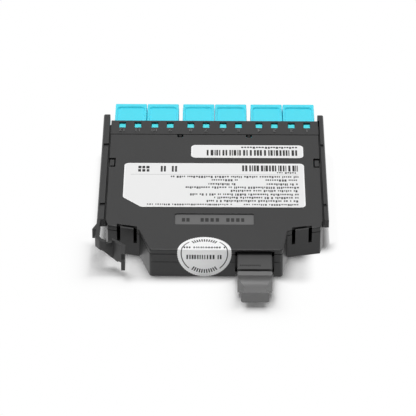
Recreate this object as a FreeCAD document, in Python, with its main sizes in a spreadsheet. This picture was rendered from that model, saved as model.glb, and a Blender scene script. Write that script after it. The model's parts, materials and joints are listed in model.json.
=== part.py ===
"""Twelve-fibre breakout cassette: LC ports at the front, one MPO port at the rear.

Frame: origin in the middle of the casing's underside, +X to the right seen from the
rear, +Y towards the LC ports, +Z up. Every size is in millimetres.
"""
import FreeCAD, Part
import math
import os
import re

import Sketcher

# Driving dimensions: alias in the sheet, value in millimetres.
SIZES = {
    # casing
    "casing_depth": 98.1,        # rear face of the tongue to the front of the bezel
    "casing_height": 11.9,
    "cover_width": 83.9,
    "casing_shift": 0.55,        # the casing sits this far right of the rails' centre
    "wall": 1.3,
    "floor": 1.3,
    "cover_plate": 1.2,
    "skirt_depth": 2.1,          # top of the cover down to the parting line
    "seam_gap": 0.2,             # between the cover and the base shell
    "edge_round": 0.4,
    "corner_round": 1.5,
    # rear outline, all measured forward from the rear face
    "tongue_left": 23.75,
    "tongue_right": 26.65,
    "root_left": 28.2,
    "root_right": 28.65,
    "step_left": 14.2,
    "step_right": 13.7,
    "wing_left": 17.4,
    "wing_right": 16.6,
    "corner_start": 21.6,
    "corner_inset": 1.1,
    "ledge_height": 6.3,         # fine groove across the rear face
    "ledge_width": 0.3,
    "ledge_depth": 0.15,
    # rails
    "rail_left": 2.65,           # widths of the two rails
    "rail_right": 1.75,
    "rail_height": 3.4,
    "rail_rise": 0.3,            # rail top above the cover
    "rail_rear": 21.4,
    "rail_nose": 4.4,            # rail length ahead of the bezel
    "groove": 0.55,              # slot between the cover's edge and the rail
    "detent_length": 5.3,
    "detent_depth": 0.6,
    "detent_rear": 28.1,
    "detent_front": 73.8,
    # bezel
    "bezel_depth": 10.8,
    "bezel_roof": 1.3,
    "window_width": 2.8,
    "window_length": 4.4,
    "window_setback": 1.2,
    # LC ports
    "quad_pitch": 27.68,
    "duplex_pitch": 13.12,
    "port_pitch": 6.25,
    "quad_width": 25.9,
    "quad_length": 22.0,
    "quad_fit": 0.1,
    "port_size": 4.7,
    "port_drop": 0.25,           # port axis below the adapter's middle
    "latch_width": 2.6,
    "latch_height": 2.0,
    "septum": 1.2,               # wall in the middle of an adapter
    "window_tab": 0.55,          # adapter tab raised into the window
    "ridge": 0.4,                # snap ridge that holds an adapter
    "ridge_length": 1.5,
    "ridge_back": 2.2,           # ridge behind the bezel
    # ferrule and sleeve
    "ferrule_bore": 1.25,
    "ferrule_fit": 0.01,
    "sleeve_wall": 0.4,
    "sleeve_length": 11.0,
    "holder_wall": 0.5,
    # LC dust caps
    "cap_width": 12.85,
    "cap_height": 10.5,
    "cap_length": 15.0,
    "cap_gap": 0.15,
    "cap_rim_side": 1.1,
    "cap_rim_near": 1.0,
    "cap_rim_far": 2.6,
    "cap_dish": 0.6,
    "cap_round": 0.45,
    "cap_slope": 0.4,            # chamfer round the dish
    "dish_round": 1.2,
    "cap_rib": 0.09,             # rib along each side, below the top edge
    "rib_drop": 1.6,
    "leg_length": 9.0,
    "leg_fit": 0.1,
    # inner LC plugs
    "plug_length": 17.0,
    "boot_length": 7.5,
    "boot_width": 3.2,
    "boot_tip": 1.8,
    "fibre": 0.9,
    "fibre_fit": 0.05,
    # MPO port
    "mpo_offset": 16.0,
    "mpo_width": 13.1,
    "mpo_height": 8.6,
    "mpo_inside": 13.7,          # adapter length inside the rear face
    "mpo_outside": 10.3,
    "mpo_port_width": 10.2,
    "mpo_port_height": 6.7,
    "mpo_opening": 14.8,
    "mpo_roof": 0.7,
    "ear": 0.9,
    "ear_length": 1.4,
    "ear_front": 6.4,
    "cradle": 1.6,
    # MPO dust cap
    "plug_fit": 0.15,
    "neck_gap": 0.9,
    "collar_length": 2.8,
    "collar_height": 7.8,
    "grip_length": 8.5,
    "grip_taper": 4.2,
    "grip_width": 8.0,
    "grip_height": 3.3,
    "flange_width": 10.6,
    "flange_height": 4.4,
    "flange_thick": 0.9,
    "flange_sweep": 0.9,
    "sweep_rise": 0.3,
    # inner MPO plug, fan-out and fibres
    "ferrule_width": 6.4,
    "ferrule_height": 2.5,
    "ferrule_length": 8.0,
    "pin_size": 0.7,
    "pin_pitch": 4.6,
    "mpo_plug_length": 20.0,
    "mpo_boot_length": 4.0,
    "ribbon_width": 3.1,
    "ribbon_height": 0.35,
    "ribbon_run": 3.0,
    "fanout_length": 6.0,
    "fanout_height": 3.4,
    "fibre_pitch": 1.1,
    "lane_gap": 2.7,             # straight length kept at both ends of the bends
    "guide_radius": 2.1,
    "guide_outer": 27.5,
    "guide_inner": 11.0,
    # latch lever
    "lever_wall": 1.35,
    "lever_gap": 0.2,
    "barb_start": 18.1,
    "barb_reach": 1.6,
    "barb_rear": 14.2,
    "lever_bend": 8.6,
    "arm_splay": 0.35,           # the arm leans outwards by this much at its bend
    "plate_rear": 5.2,
    "plate_crest": 6.1,
    "bend_end": 1.6,             # inwards from the rail's outer face, like the next two
    "trough": 3.8,
    "crest": 6.5,
    "fin_reach": 10.0,           # rail's outer face to the fin
    "fin_start": 2.3,
    "fin_rear": 5.1,
    "fin_thick": 1.5,
    "fin_chamfer": 1.5,
    "lever_low": 8.5,            # height of the lever where its plate hangs lowest
    "lever_high": 4.2,           # height of the arm
    "fin_low": 6.5,              # height of the fin at its end
    "top_notch_width": 2.1,
    "top_notch_depth": 1.0,
    # snap fingers and tabs
    "finger_width": 5.1,
    "finger_slot": 1.3,
    "finger_thick": 1.05,
    "finger_slot_depth": 6.3,
    "finger_left": 32.95,
    "finger_right": 34.25,
    "finger_notch": 2.2,
    "snap_length": 7.0,
    "snap_depth": 2.6,
    "snap_rear": 61.4,
    "hook_length": 4.6,
    "hook_width": 1.7,
    "notch_width": 2.3,
    "notch_depth": 2.2,
    # recessed panel
    "panel_left": 14.6,
    "panel_right": 15.9,
    "panel_rear": 18.4,
    "panel_length": 8.0,
    "panel_depth": 0.55,
    # labels and seal
    "label_thick": 0.12,
    "label_round": 1.9,
    "label_left": 35.1,
    "label_right": 36.05,
    "label_rear": 30.9,
    "label_length": 33.15,
    "label_cut": 7.2,
    "serial_left": 8.75,
    "serial_right": 36.0,
    "serial_rear": 68.5,
    "serial_length": 9.9,
    "seal_radius": 10.4,
    "seal_drop": 1.4,
    "seal_x": 3.1,
}

DOC = FreeCAD.newDocument("cassette")
SHEET = DOC.addObject("Spreadsheet::Sheet", "Sizes")


def fill_sheet():
    """Write each driving dimension and its alias to the sheet."""
    for row, (alias, value) in enumerate(SIZES.items(), start=1):
        SHEET.set(f"A{row}", alias)
        SHEET.set(f"B{row}", str(value))
        SHEET.setAlias(f"B{row}", alias)
    DOC.recompute()


def bind(text):
    """Return an expression with every alias pointed at the sheet."""
    return re.sub(r"[a-z_]+", lambda word: "Sizes." + word[0] if word[0] in SIZES else word[0],
                  str(text))


def value(text):
    """Return the number that an expression gives with the sheet's present values."""
    return float(SHEET.evalExpression(bind(text)))


# Planes of the casing, as expressions of the driving dimensions.
FRONT = "(casing_depth / 2)"
REAR = "(-casing_depth / 2)"
LEFT = "(casing_shift - cover_width / 2)"
RIGHT = "(casing_shift + cover_width / 2)"
SPLIT = "(casing_height - skirt_depth)"
SKIRT = f"({SPLIT} + seam_gap)"
ROOF = "(casing_height - bezel_roof)"
SEAM = f"({FRONT} - bezel_depth)"
RAIL_TOP = "(casing_height + rail_rise)"
RAIL_LOW = f"({RAIL_TOP} - rail_height)"
RAIL_LEFT = f"({LEFT} - groove - rail_left)"
RAIL_RIGHT = f"({RIGHT} + groove + rail_right)"
RAIL_REAR = f"({REAR} + rail_rear)"

# LC port geometry.
QUADS = (-1, 0, 1)
PORTS = (
    "(-duplex_pitch / 2 - port_pitch / 2)",
    "(-duplex_pitch / 2 + port_pitch / 2)",
    "(duplex_pitch / 2 - port_pitch / 2)",
    "(duplex_pitch / 2 + port_pitch / 2)",
)
QUAD_LOW = "(floor + quad_fit / 2)"
QUAD_TOP = f"({ROOF} - quad_fit / 2)"
QUAD_MIDDLE = f"(({QUAD_LOW} + {QUAD_TOP}) / 2)"
QUAD_FRONT = f"({FRONT} - quad_fit)"
QUAD_REAR = f"({QUAD_FRONT} - quad_length)"
SEPTUM_MIDDLE = f"({QUAD_FRONT} - quad_length / 2)"
PORT_DEPTH = "((quad_length - septum) / 2)"
PORT_AXIS = f"({QUAD_MIDDLE} - port_drop)"
SLEEVE_RADIUS = "(ferrule_bore / 2 + sleeve_wall)"
MPO_AXIS = PORT_AXIS
HOLDER_RADIUS = f"({SLEEVE_RADIUS} + fibre_fit + holder_wall)"
LEG_SIZE = "(port_size - 2 * leg_fit)"
BORE_RADIUS = f"({HOLDER_RADIUS} + leg_fit)"

# Inner LC plugs, from the septum rearwards.
PLUG_FRONT = f"({SEPTUM_MIDDLE} - septum / 2 - leg_fit)"
PLUG_REAR = f"({PLUG_FRONT} - plug_length)"
FERRULE_REAR = f"({PLUG_FRONT} - plug_length / 2 - sleeve_length / 4)"
BOOT_REAR = f"({PLUG_REAR} - boot_length)"

# MPO port, from the outside inwards.
MPO_OUTER = f"({REAR} - mpo_outside)"
MPO_INNER = f"({REAR} + mpo_inside)"
MPO_SEPTUM = f"(({MPO_OUTER} + {MPO_INNER}) / 2)"
MPO_PORT_DEPTH = "((mpo_inside + mpo_outside - septum) / 2)"
MPO_PLUG_FRONT = f"({MPO_SEPTUM} + septum / 2 + leg_fit)"
MPO_PLUG_REAR = f"({MPO_PLUG_FRONT} + mpo_plug_length)"
MPO_BOOT_REAR = f"({MPO_PLUG_REAR} + mpo_boot_length)"
FANOUT_REAR = f"({MPO_BOOT_REAR} + ribbon_run)"
FANOUT_FRONT = f"({FANOUT_REAR} + fanout_length)"
FIBRES = len(QUADS) * len(PORTS)
FANOUT_WIDTH = f"({FIBRES - 1} * fibre_pitch + 2 * wall)"

# Bends between the plugs' boots and the fan-out block, in lanes one fibre pitch apart.
LANE_SPREAD = f"({FIBRES // 2 - 1} * fibre_pitch)"
BEND_RADIUS = f"(({BOOT_REAR} - {FANOUT_FRONT} - {LANE_SPREAD}) / 2 - lane_gap)"
FIRST_LANE = f"({FANOUT_FRONT} + lane_gap + {BEND_RADIUS})"

PARTS = []


def new_body(label, across="0"):
    """Start a sub-part whose own middle lies at the given x."""
    body = DOC.addObject("PartDesign::Body", label)
    body.Label = label
    body.setExpression(".Placement.Base.x", bind(across))
    PARTS.append(body)
    return body


def origin_plane(body, role):
    """Return the body's own origin plane with this role."""
    return next(item for item in body.Origin.OriginFeatures if item.Role == role)


def rect(x_low, y_low, x_high, y_high):
    """Return the corners of a rectangle."""
    return [(x_low, y_low), (x_high, y_low), (x_high, y_high), (x_low, y_high)]


def block(x_middle, y_middle, width, height):
    """Return the corners of a rectangle about its middle."""
    return rect(f"{x_middle} - ({width}) / 2", f"{y_middle} - ({height}) / 2",
                f"{x_middle} + ({width}) / 2", f"{y_middle} + ({height}) / 2")


def ring(x_middle, y_middle, radius):
    """Return a circle as its middle and radius."""
    return (x_middle, y_middle, radius)


def hold(sketch, constraints):
    """Add constraints and bind each one that has an expression."""
    first = sketch.ConstraintCount
    sketch.addConstraint([constraint for constraint, _ in constraints])
    for number, (_, text) in enumerate(constraints, start=first):
        if text is not None:
            sketch.setExpression(f"Constraints[{number}]", bind(text))


def draw_polygon(sketch, points):
    """Draw a closed outline with both coordinates of every corner bound."""
    first = sketch.GeometryCount
    spots = [FreeCAD.Vector(value(x), value(y), 0) for x, y in points]
    sketch.addGeometry([Part.LineSegment(spot, spots[(number + 1) % len(spots)])
                        for number, spot in enumerate(spots)], False)
    held = []
    for number, (x, y) in enumerate(points):
        line = first + number
        following = first + (number + 1) % len(points)
        held.append((Sketcher.Constraint("Coincident", line, 2, following, 1), None))
        held.append((Sketcher.Constraint("DistanceX", -1, 1, line, 1, value(x)), x))
        held.append((Sketcher.Constraint("DistanceY", -1, 1, line, 1, value(y)), y))
    hold(sketch, held)


def draw_circle(sketch, circle):
    """Draw a circle with its middle and radius bound."""
    x, y, radius = circle
    number = sketch.GeometryCount
    middle = FreeCAD.Vector(value(x), value(y), 0)
    sketch.addGeometry(Part.Circle(middle, FreeCAD.Vector(0, 0, 1), value(radius)), False)
    hold(sketch, [
        (Sketcher.Constraint("DistanceX", -1, 1, number, 3, value(x)), x),
        (Sketcher.Constraint("DistanceY", -1, 1, number, 3, value(y)), y),
        (Sketcher.Constraint("Radius", number, value(radius)), radius),
    ])


def carve(body, kind, name, plane, start, length, loops):
    """Pad or pocket the loops from start over a length along the plane's positive axis.

    The sketch's x and y are the plane's two axes in X, Y, Z order.
    """
    before = body.Shape.Volume if body.Tip else 0.0
    sideways = plane == "XZ_Plane"
    sketch = body.newObject("Sketcher::SketchObject", f"{body.Label}_{name}_sketch")
    sketch.AttachmentSupport = [(origin_plane(body, plane), "")]
    sketch.MapMode = "FlatFace"
    sketch.setExpression(".AttachmentOffset.Base.z", bind(f"-({start})" if sideways else start))
    for loop in loops:
        if isinstance(loop, tuple):
            draw_circle(sketch, loop)
        else:
            draw_polygon(sketch, loop)
    step = body.newObject(f"PartDesign::{kind}", f"{body.Label}_{name}")
    step.Profile = sketch
    step.Reversed = sideways == (kind == "Pad")
    step.setExpression("Length", bind(length))
    sketch.Visibility = False
    DOC.recompute()
    grown = body.Shape.Volume - before
    if grown == 0 or (grown > 0) != (kind == "Pad"):
        raise ValueError(f"{body.Label}: {name} changed the volume by {grown:.4f}")
    return step


def pad(body, name, plane, start, length, loops):
    """Add material between start and start plus length."""
    return carve(body, "Pad", name, plane, start, length, loops)


def pocket(body, name, plane, start, length, loops):
    """Take material away between start and start plus length."""
    return carve(body, "Pocket", name, plane, start, length, loops)


def soften(body, kind, name, size, wanted):
    """Fillet or chamfer the edges whose bounding box the test accepts."""
    base = body.Tip
    names = [f"Edge{number}" for number, edge in enumerate(base.Shape.Edges, start=1)
             if wanted(edge.BoundBox)]
    if not names:
        raise ValueError(f"{body.Label}: {name} finds no edge")
    step = body.newObject(f"PartDesign::{kind}", f"{body.Label}_{name}")
    step.Base = (base, names)
    step.setExpression("Radius" if kind == "Fillet" else "Size", bind(size))
    DOC.recompute()
    return step


def same(one, other):
    """Tell whether two lengths agree."""
    return abs(one - other) < 1e-4


def upright(box):
    """Tell whether an edge runs along Z."""
    return same(box.XMin, box.XMax) and same(box.YMin, box.YMax)


def level(box, height):
    """Tell whether an edge lies at this height."""
    return same(box.ZMin, value(height)) and same(box.ZMax, value(height))


def outline(front, inset="0"):
    """Return the plan of the casing: straight sides, two wings and the rear tongue."""
    return [
        (f"{LEFT} + {inset}", front),
        (f"{LEFT} + {inset}", f"{REAR} + corner_start"),
        (f"{LEFT} + corner_inset + {inset}", f"{REAR} + wing_left + {inset}"),
        (f"-root_left + {inset}", f"{REAR} + step_left + {inset}"),
        (f"-tongue_left + {inset}", f"{REAR} + {inset}"),
        (f"tongue_right - {inset}", f"{REAR} + {inset}"),
        (f"root_right - {inset}", f"{REAR} + step_right + {inset}"),
        (f"{RIGHT} - corner_inset - {inset}", f"{REAR} + wing_right + {inset}"),
        (f"{RIGHT} - {inset}", f"{REAR} + corner_start"),
        (f"{RIGHT} - {inset}", front),
    ]


def wing_line(x, side):
    """Return y of the wing's rear face at x."""
    if side == "left":
        tip = (f"({LEFT} + corner_inset)", f"({REAR} + wing_left)")
        root = ("(-root_left)", f"({REAR} + step_left)")
    else:
        tip = (f"({RIGHT} - corner_inset)", f"({REAR} + wing_right)")
        root = ("root_right", f"({REAR} + step_right)")
    slope = f"({root[1]} - {tip[1]}) / ({root[0]} - {tip[0]})"
    return f"({tip[1]} + {slope} * ({x} - {tip[0]}))"


def wing_strip(side, x_low, x_high, near, far):
    """Return a strip along the wing's rear face, between two offsets from it."""
    return [
        (x_low, f"{wing_line(x_low, side)} + {near}"),
        (x_high, f"{wing_line(x_high, side)} + {near}"),
        (x_high, f"{wing_line(x_high, side)} + {far}"),
        (x_low, f"{wing_line(x_low, side)} + {far}"),
    ]


def fingers():
    """Return each snap finger's side and its two edges in x."""
    return [
        ("left", "(-finger_left - finger_width / 2)", "(-finger_left + finger_width / 2)"),
        ("right", "(finger_right - finger_width / 2)", "(finger_right + finger_width / 2)"),
    ]


def quad_centre(quad):
    """Return x of an adapter's middle."""
    return f"(casing_shift + ({quad}) * quad_pitch)"


def rail_strips(x_inner_left, x_inner_right, rear, front):
    """Return one strip on each side, from the rail's outer face inwards."""
    return [rect(RAIL_LEFT, rear, x_inner_left, front),
            rect(x_inner_right, rear, RAIL_RIGHT, front)]


def base_shell():
    """Tray with rails, bezel, snap fingers and the cradles that hold the adapters."""
    body = new_body("base_shell")
    pad(body, "casing", "XY_Plane", "0", SPLIT, [outline(SEAM)])
    pad(body, "bezel", "XY_Plane", "0", "casing_height", [rect(LEFT, SEAM, RIGHT, FRONT)])
    pocket(body, "tray", "XY_Plane", "floor", "casing_height", [outline(SEAM, "wall")])
    base_rails(body)
    base_bezel(body)
    base_cradles(body)
    base_snaps(body)
    base_guides(body)
    base_edges(body)


def base_rails(body):
    """Side rails, each with two detents and a nose ahead of the bezel."""
    pad(body, "rail_roots", "XY_Plane", RAIL_LOW, f"{SPLIT} - {RAIL_LOW}",
        rail_strips(f"{LEFT} + wall / 2", f"{RIGHT} - wall / 2", RAIL_REAR, FRONT))
    pad(body, "rails", "XY_Plane", RAIL_LOW, "rail_height",
        rail_strips(f"{LEFT} - groove", f"{RIGHT} + groove", RAIL_REAR, f"{FRONT} + rail_nose"))
    pad(body, "right_nose", "XY_Plane", RAIL_LOW, "rail_height",
        [rect(f"{RIGHT} - groove / 4", FRONT, RAIL_RIGHT, f"{FRONT} + rail_nose")])
    wedges = []
    for rear in ("detent_rear", "detent_front"):
        near = f"{REAR} + {rear}"
        far = f"{near} + detent_length"
        wedges.append([(near, RAIL_TOP), (far, f"{RAIL_TOP} - detent_depth"), (far, RAIL_TOP)])
    pocket(body, "left_detents", "YZ_Plane", f"{RAIL_LEFT} + wall / 2",
           f"{LEFT} - groove - {RAIL_LEFT} - wall / 2", wedges)
    pocket(body, "right_detents", "YZ_Plane", f"{RIGHT} + groove",
           f"{RAIL_RIGHT} - wall / 2 - {RIGHT} - groove", wedges)


def base_bezel(body):
    """Adapter bays, the windows over the ports and the ridges that hold the adapters."""
    bays = []
    windows = []
    for quad in QUADS:
        middle = quad_centre(quad)
        half = "(quad_width / 2 + quad_fit)"
        bays.append(rect(f"{middle} - {half}", SEAM, f"{middle} + {half}", FRONT))
        for port in PORTS:
            windows.append(rect(f"{middle} + {port} - window_width / 2",
                                f"{FRONT} - window_setback - window_length",
                                f"{middle} + {port} + window_width / 2",
                                f"{FRONT} - window_setback"))
    pocket(body, "bays", "XY_Plane", "floor", f"{ROOF} - floor", bays)
    pocket(body, "windows", "XY_Plane", ROOF, "bezel_roof", windows)
    ridge_rear = f"{SEAM} - ridge_back"
    ridge_front = f"{ridge_rear} + ridge_length"
    reach = "(quad_width / 2 + quad_fit - ridge)"
    posts = []
    for quad in QUADS[1:]:
        left_quad = quad_centre(quad - 1)
        posts.append(rect(f"{left_quad} + {reach}", ridge_rear,
                          f"{quad_centre(quad)} - {reach}", ridge_front))
    posts.append(rect(f"{LEFT} + wall / 2", ridge_rear,
                      f"{quad_centre(-1)} - {reach}", ridge_front))
    posts.append(rect(f"{quad_centre(1)} + {reach}", ridge_rear,
                      f"{RIGHT} - wall / 2", ridge_front))
    pad(body, "ridges", "XY_Plane", "floor / 2", f"{SPLIT} - floor / 2", posts)


def base_cradles(body):
    """Rear opening for the MPO adapter and the four cradle blocks at its ears."""
    middle = "mpo_offset"
    pocket(body, "mpo_opening", "XY_Plane", "0", SPLIT,
           [rect(f"{middle} - mpo_opening / 2", REAR, f"{middle} + mpo_opening / 2",
                 f"{REAR} + wall")])
    inner = "(mpo_width / 2 + quad_fit)"
    outer = "(mpo_width / 2 + ear + cradle)"
    ear_rear = f"({REAR} + ear_front - ear_length - quad_fit)"
    ear_far = f"({REAR} + ear_front + quad_fit)"
    blocks = []
    for rear, front in ((f"{ear_rear} - cradle", ear_rear), (ear_far, f"{ear_far} + cradle")):
        blocks.append(rect(f"{middle} - {outer}", rear, f"{middle} - {inner}", front))
        blocks.append(rect(f"{middle} + {inner}", rear, f"{middle} + {outer}", front))
    pad(body, "cradle", "XY_Plane", "floor / 2", f"{MPO_AXIS} - floor / 2 + wall", blocks)


def base_snaps(body):
    """Two rear snap fingers, two side hooks and two front tabs that hold the cover."""
    strips = [wing_strip(side, low, high, "0", "finger_thick") for side, low, high in fingers()]
    pad(body, "fingers", "XY_Plane", "floor / 2", "casing_height - floor / 2 - seam_gap", strips)
    slots = []
    for side, low, high in fingers():
        slots.append(wing_strip(side, f"({low} - finger_slot)", low, "-wall", "wall * 2"))
        slots.append(wing_strip(side, high, f"({high} + finger_slot)", "-wall", "wall * 2"))
    pocket(body, "finger_slots", "XY_Plane", "casing_height - finger_slot_depth",
           "finger_slot_depth", slots)
    middle = f"({REAR} + snap_rear + snap_length / 2)"
    inset = "(wall / 3)"
    hooks = [
        rect(f"{LEFT} + {inset}", f"{middle} - hook_length / 2",
             f"{LEFT} + {inset} + hook_width", f"{middle} + hook_length / 2"),
        rect(f"{RIGHT} - {inset} - hook_width", f"{middle} - hook_length / 2",
             f"{RIGHT} - {inset}", f"{middle} + hook_length / 2"),
    ]
    pad(body, "hooks", "XY_Plane", f"{SPLIT} - wall", "skirt_depth + wall - seam_gap", hooks)
    tabs = []
    for quad in QUADS[1:]:
        x = f"({quad_centre(quad)} - quad_pitch / 2)"
        tabs.append(rect(f"{x} - notch_width / 4", f"{SEAM} - notch_depth / 2",
                         f"{x} + notch_width / 4", SEAM))
    pad(body, "tabs", "XY_Plane", ROOF, "bezel_roof - edge_round", tabs)


def base_guides(body):
    """Round posts on the floor that keep the fibres off the tray's corners."""
    posts = [ring(x, f"{FIRST_LANE} - fibre - guide_radius", "guide_radius")
             for x in ("-guide_outer", "-guide_inner")]
    pad(body, "guide_posts", "XY_Plane", "floor / 2", PORT_AXIS, posts)
    bed = rect(f"mpo_offset - {FANOUT_WIDTH} / 2", FANOUT_REAR,
               f"mpo_offset + {FANOUT_WIDTH} / 2", FANOUT_FRONT)
    pad(body, "fanout_bed", "XY_Plane", "floor / 2",
        f"{MPO_AXIS} - fanout_height / 2 - floor / 2", [bed])


def base_edges(body):
    """Rounded corners of the tongue and noses, broken top edges and the groove behind."""
    rear = value(REAR)
    nose = value(f"{FRONT} + rail_nose")
    soften(body, "Fillet", "tongue_corners", "corner_round",
           lambda box: upright(box) and same(box.YMin, rear) and box.ZLength > value("wall")
           and (same(box.XMin, value("-tongue_left")) or same(box.XMin, value("tongue_right"))))
    soften(body, "Chamfer", "rail_edges", "edge_round",
           lambda box: level(box, RAIL_TOP) and box.YLength > value("casing_depth") / 3
           and (same(box.XMin, value(RAIL_LEFT)) or same(box.XMax, value(RAIL_RIGHT))))
    soften(body, "Fillet", "nose_corners", "edge_round",
           lambda box: upright(box) and same(box.YMin, nose))
    pocket(body, "rear_groove", "XY_Plane", "ledge_height", "ledge_width",
           [rect("-tongue_left", REAR, "tongue_right", f"{REAR} + ledge_depth")])


def top_cover():
    """Snap-on lid with a shallow skirt, a recessed panel and the openings for the snaps."""
    body = new_body("top_cover")
    front = f"({SEAM} - seam_gap)"
    pad(body, "plate", "XY_Plane", SKIRT, f"casing_height - {SKIRT}", [outline(front)])
    soften(body, "Fillet", "tongue_corners", "corner_round",
           lambda box: upright(box) and same(box.YMin, value(REAR)))
    soften(body, "Fillet", "top_edge", "edge_round", lambda box: level(box, "casing_height"))
    pocket(body, "inside", "XY_Plane", SKIRT, f"casing_height - cover_plate - {SKIRT}",
           [outline(front, "wall")])
    pocket(body, "mpo_relief", "XY_Plane", SPLIT, "skirt_depth - mpo_roof",
           [rect("mpo_offset - mpo_opening / 2", f"{REAR} - wall",
                 "mpo_offset + mpo_opening / 2", f"{REAR} + wall * 2")])
    rear = f"({REAR} + snap_rear)"
    windows = [
        rect(f"{LEFT} - wall", rear, f"{LEFT} + snap_depth", f"{rear} + snap_length"),
        rect(f"{RIGHT} - snap_depth", rear, f"{RIGHT} + wall", f"{rear} + snap_length"),
    ]
    pocket(body, "side_windows", "XY_Plane", SPLIT, "skirt_depth", windows)
    notches = []
    for quad in QUADS[1:]:
        x = f"({quad_centre(quad)} - quad_pitch / 2)"
        notches.append(rect(f"{x} - notch_width / 2", f"{front} - notch_depth",
                            f"{x} + notch_width / 2", f"{front} + wall"))
    pocket(body, "front_notches", "XY_Plane", SPLIT, "skirt_depth", notches)
    mouths = [wing_strip(side, f"({low} - finger_slot)", f"({high} + finger_slot)", "-wall",
                         "finger_notch") for side, low, high in fingers()]
    pocket(body, "finger_notches", "XY_Plane", SPLIT, "skirt_depth", mouths)
    panel = rect("-panel_left", f"{REAR} + panel_rear", "panel_right",
                 f"{REAR} + panel_rear + panel_length")
    pocket(body, "panel", "XY_Plane", "casing_height - panel_depth", "panel_depth", [panel])
    floor_level = value("casing_height - panel_depth")
    soften(body, "Fillet", "panel_corners", "edge_round * 2",
           lambda box: upright(box) and same(box.ZMin, floor_level)
           and same(box.ZLength, value("panel_depth")))


def release_lever():
    """Spring arm that goes on from the left rail: barb, bend, wave and thumb fin."""
    body = new_body("release_lever")
    x = RAIL_LEFT
    inner = f"{x} + lever_wall"
    root = f"{RAIL_REAR} - lever_gap"
    fin = f"{x} + fin_reach"
    plan = [
        (x, root),
        (x, f"{REAR} + barb_start"),
        (f"{x} - barb_reach", f"{REAR} + barb_rear"),
        (x, f"{REAR} + barb_rear"),
        (f"{x} - arm_splay", f"{REAR} + lever_bend"),
        (f"{x} + bend_end", f"{REAR} + plate_rear + lever_wall / 3"),
        (f"{x} + trough", f"{REAR} + plate_rear"),
        (f"{x} + crest", f"{REAR} + plate_crest"),
        (fin, f"{REAR} + fin_start"),
        (fin, f"{REAR} - fin_rear"),
        (f"{fin} + fin_thick", f"{REAR} - fin_rear"),
        (f"{fin} + fin_thick", f"{REAR} + fin_start + lever_wall / 3"),
        (f"{x} + crest", f"{REAR} + plate_crest + lever_wall"),
        (f"{x} + trough", f"{REAR} + plate_rear + lever_wall"),
        (f"{x} + bend_end + lever_wall / 2", f"{REAR} + plate_rear + lever_wall * 3 / 2"),
        (f"{inner} - arm_splay", f"{REAR} + lever_bend + lever_wall"),
        (inner, root),
    ]
    pad(body, "arm", "XY_Plane", f"{RAIL_TOP} - lever_low", "lever_low", [plan])
    low = f"({RAIL_TOP} - lever_low)"
    high = f"({RAIL_TOP} - lever_high)"
    drop = "(lever_low - lever_high)"
    slope_middle = "(trough + crest) / 2"
    under = [
        (f"{x} - barb_reach * 2", f"{low} - wall"),
        (f"{x} + crest + lever_wall", f"{low} - wall"),
        (f"{x} + crest + lever_wall", low),
        (f"{x} + crest", f"{low} + {drop} / 12"),
        (f"{x} + {slope_middle}", f"{low} + {drop} * 2 / 5"),
        (f"{x} + trough", f"{high} - {drop} / 5"),
        (f"{x} + trough - lever_wall", high),
        (f"{x} - barb_reach * 2", high),
    ]
    pocket(body, "underside", "XZ_Plane", f"{REAR} - fin_rear * 2", "rail_rear + fin_rear * 3",
           [under])
    fin_bottom = [
        (f"{REAR} + plate_crest", f"{low} - wall"),
        (f"{REAR} + plate_crest", low),
        (f"{REAR} - fin_rear", f"{RAIL_TOP} - fin_low"),
        (f"{REAR} - fin_rear - wall", f"{RAIL_TOP} - fin_low"),
        (f"{REAR} - fin_rear - wall", f"{low} - wall"),
    ]
    pocket(body, "fin_bottom", "YZ_Plane", f"{fin} - lever_wall", "fin_thick + lever_wall * 2",
           [fin_bottom])
    notch = block(f"{x} + {slope_middle}", RAIL_TOP, "top_notch_width", "top_notch_depth * 2")
    pocket(body, "top_notch", "XZ_Plane", f"{REAR} - fin_rear * 2", "rail_rear + fin_rear * 3",
           [notch])
    bend = value(f"{REAR} + plate_rear")
    soften(body, "Fillet", "bends", "corner_round",
           lambda box: upright(box) and bend < box.YMin < value(f"{REAR} + barb_rear - wall")
           and box.XMin < value(f"{inner} + wall / 2"))
    soften(body, "Chamfer", "fin_end", "fin_chamfer",
           lambda box: level(box, RAIL_TOP) and same(box.YMin, value(f"{REAR} - fin_rear"))
           and same(box.YMax, value(f"{REAR} - fin_rear")))


def port_outline(x):
    """Return one LC port seen along Y: a square with the latch slot above it."""
    half = "port_size / 2"
    return [
        (f"{x} - {half}", f"{PORT_AXIS} - {half}"),
        (f"{x} + {half}", f"{PORT_AXIS} - {half}"),
        (f"{x} + {half}", f"{PORT_AXIS} + {half}"),
        (f"{x} + latch_width / 2", f"{PORT_AXIS} + {half}"),
        (f"{x} + latch_width / 2", f"{PORT_AXIS} + {half} + latch_height"),
        (f"{x} - latch_width / 2", f"{PORT_AXIS} + {half} + latch_height"),
        (f"{x} - latch_width / 2", f"{PORT_AXIS} + {half}"),
        (f"{x} - {half}", f"{PORT_AXIS} + {half}"),
    ]


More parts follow.
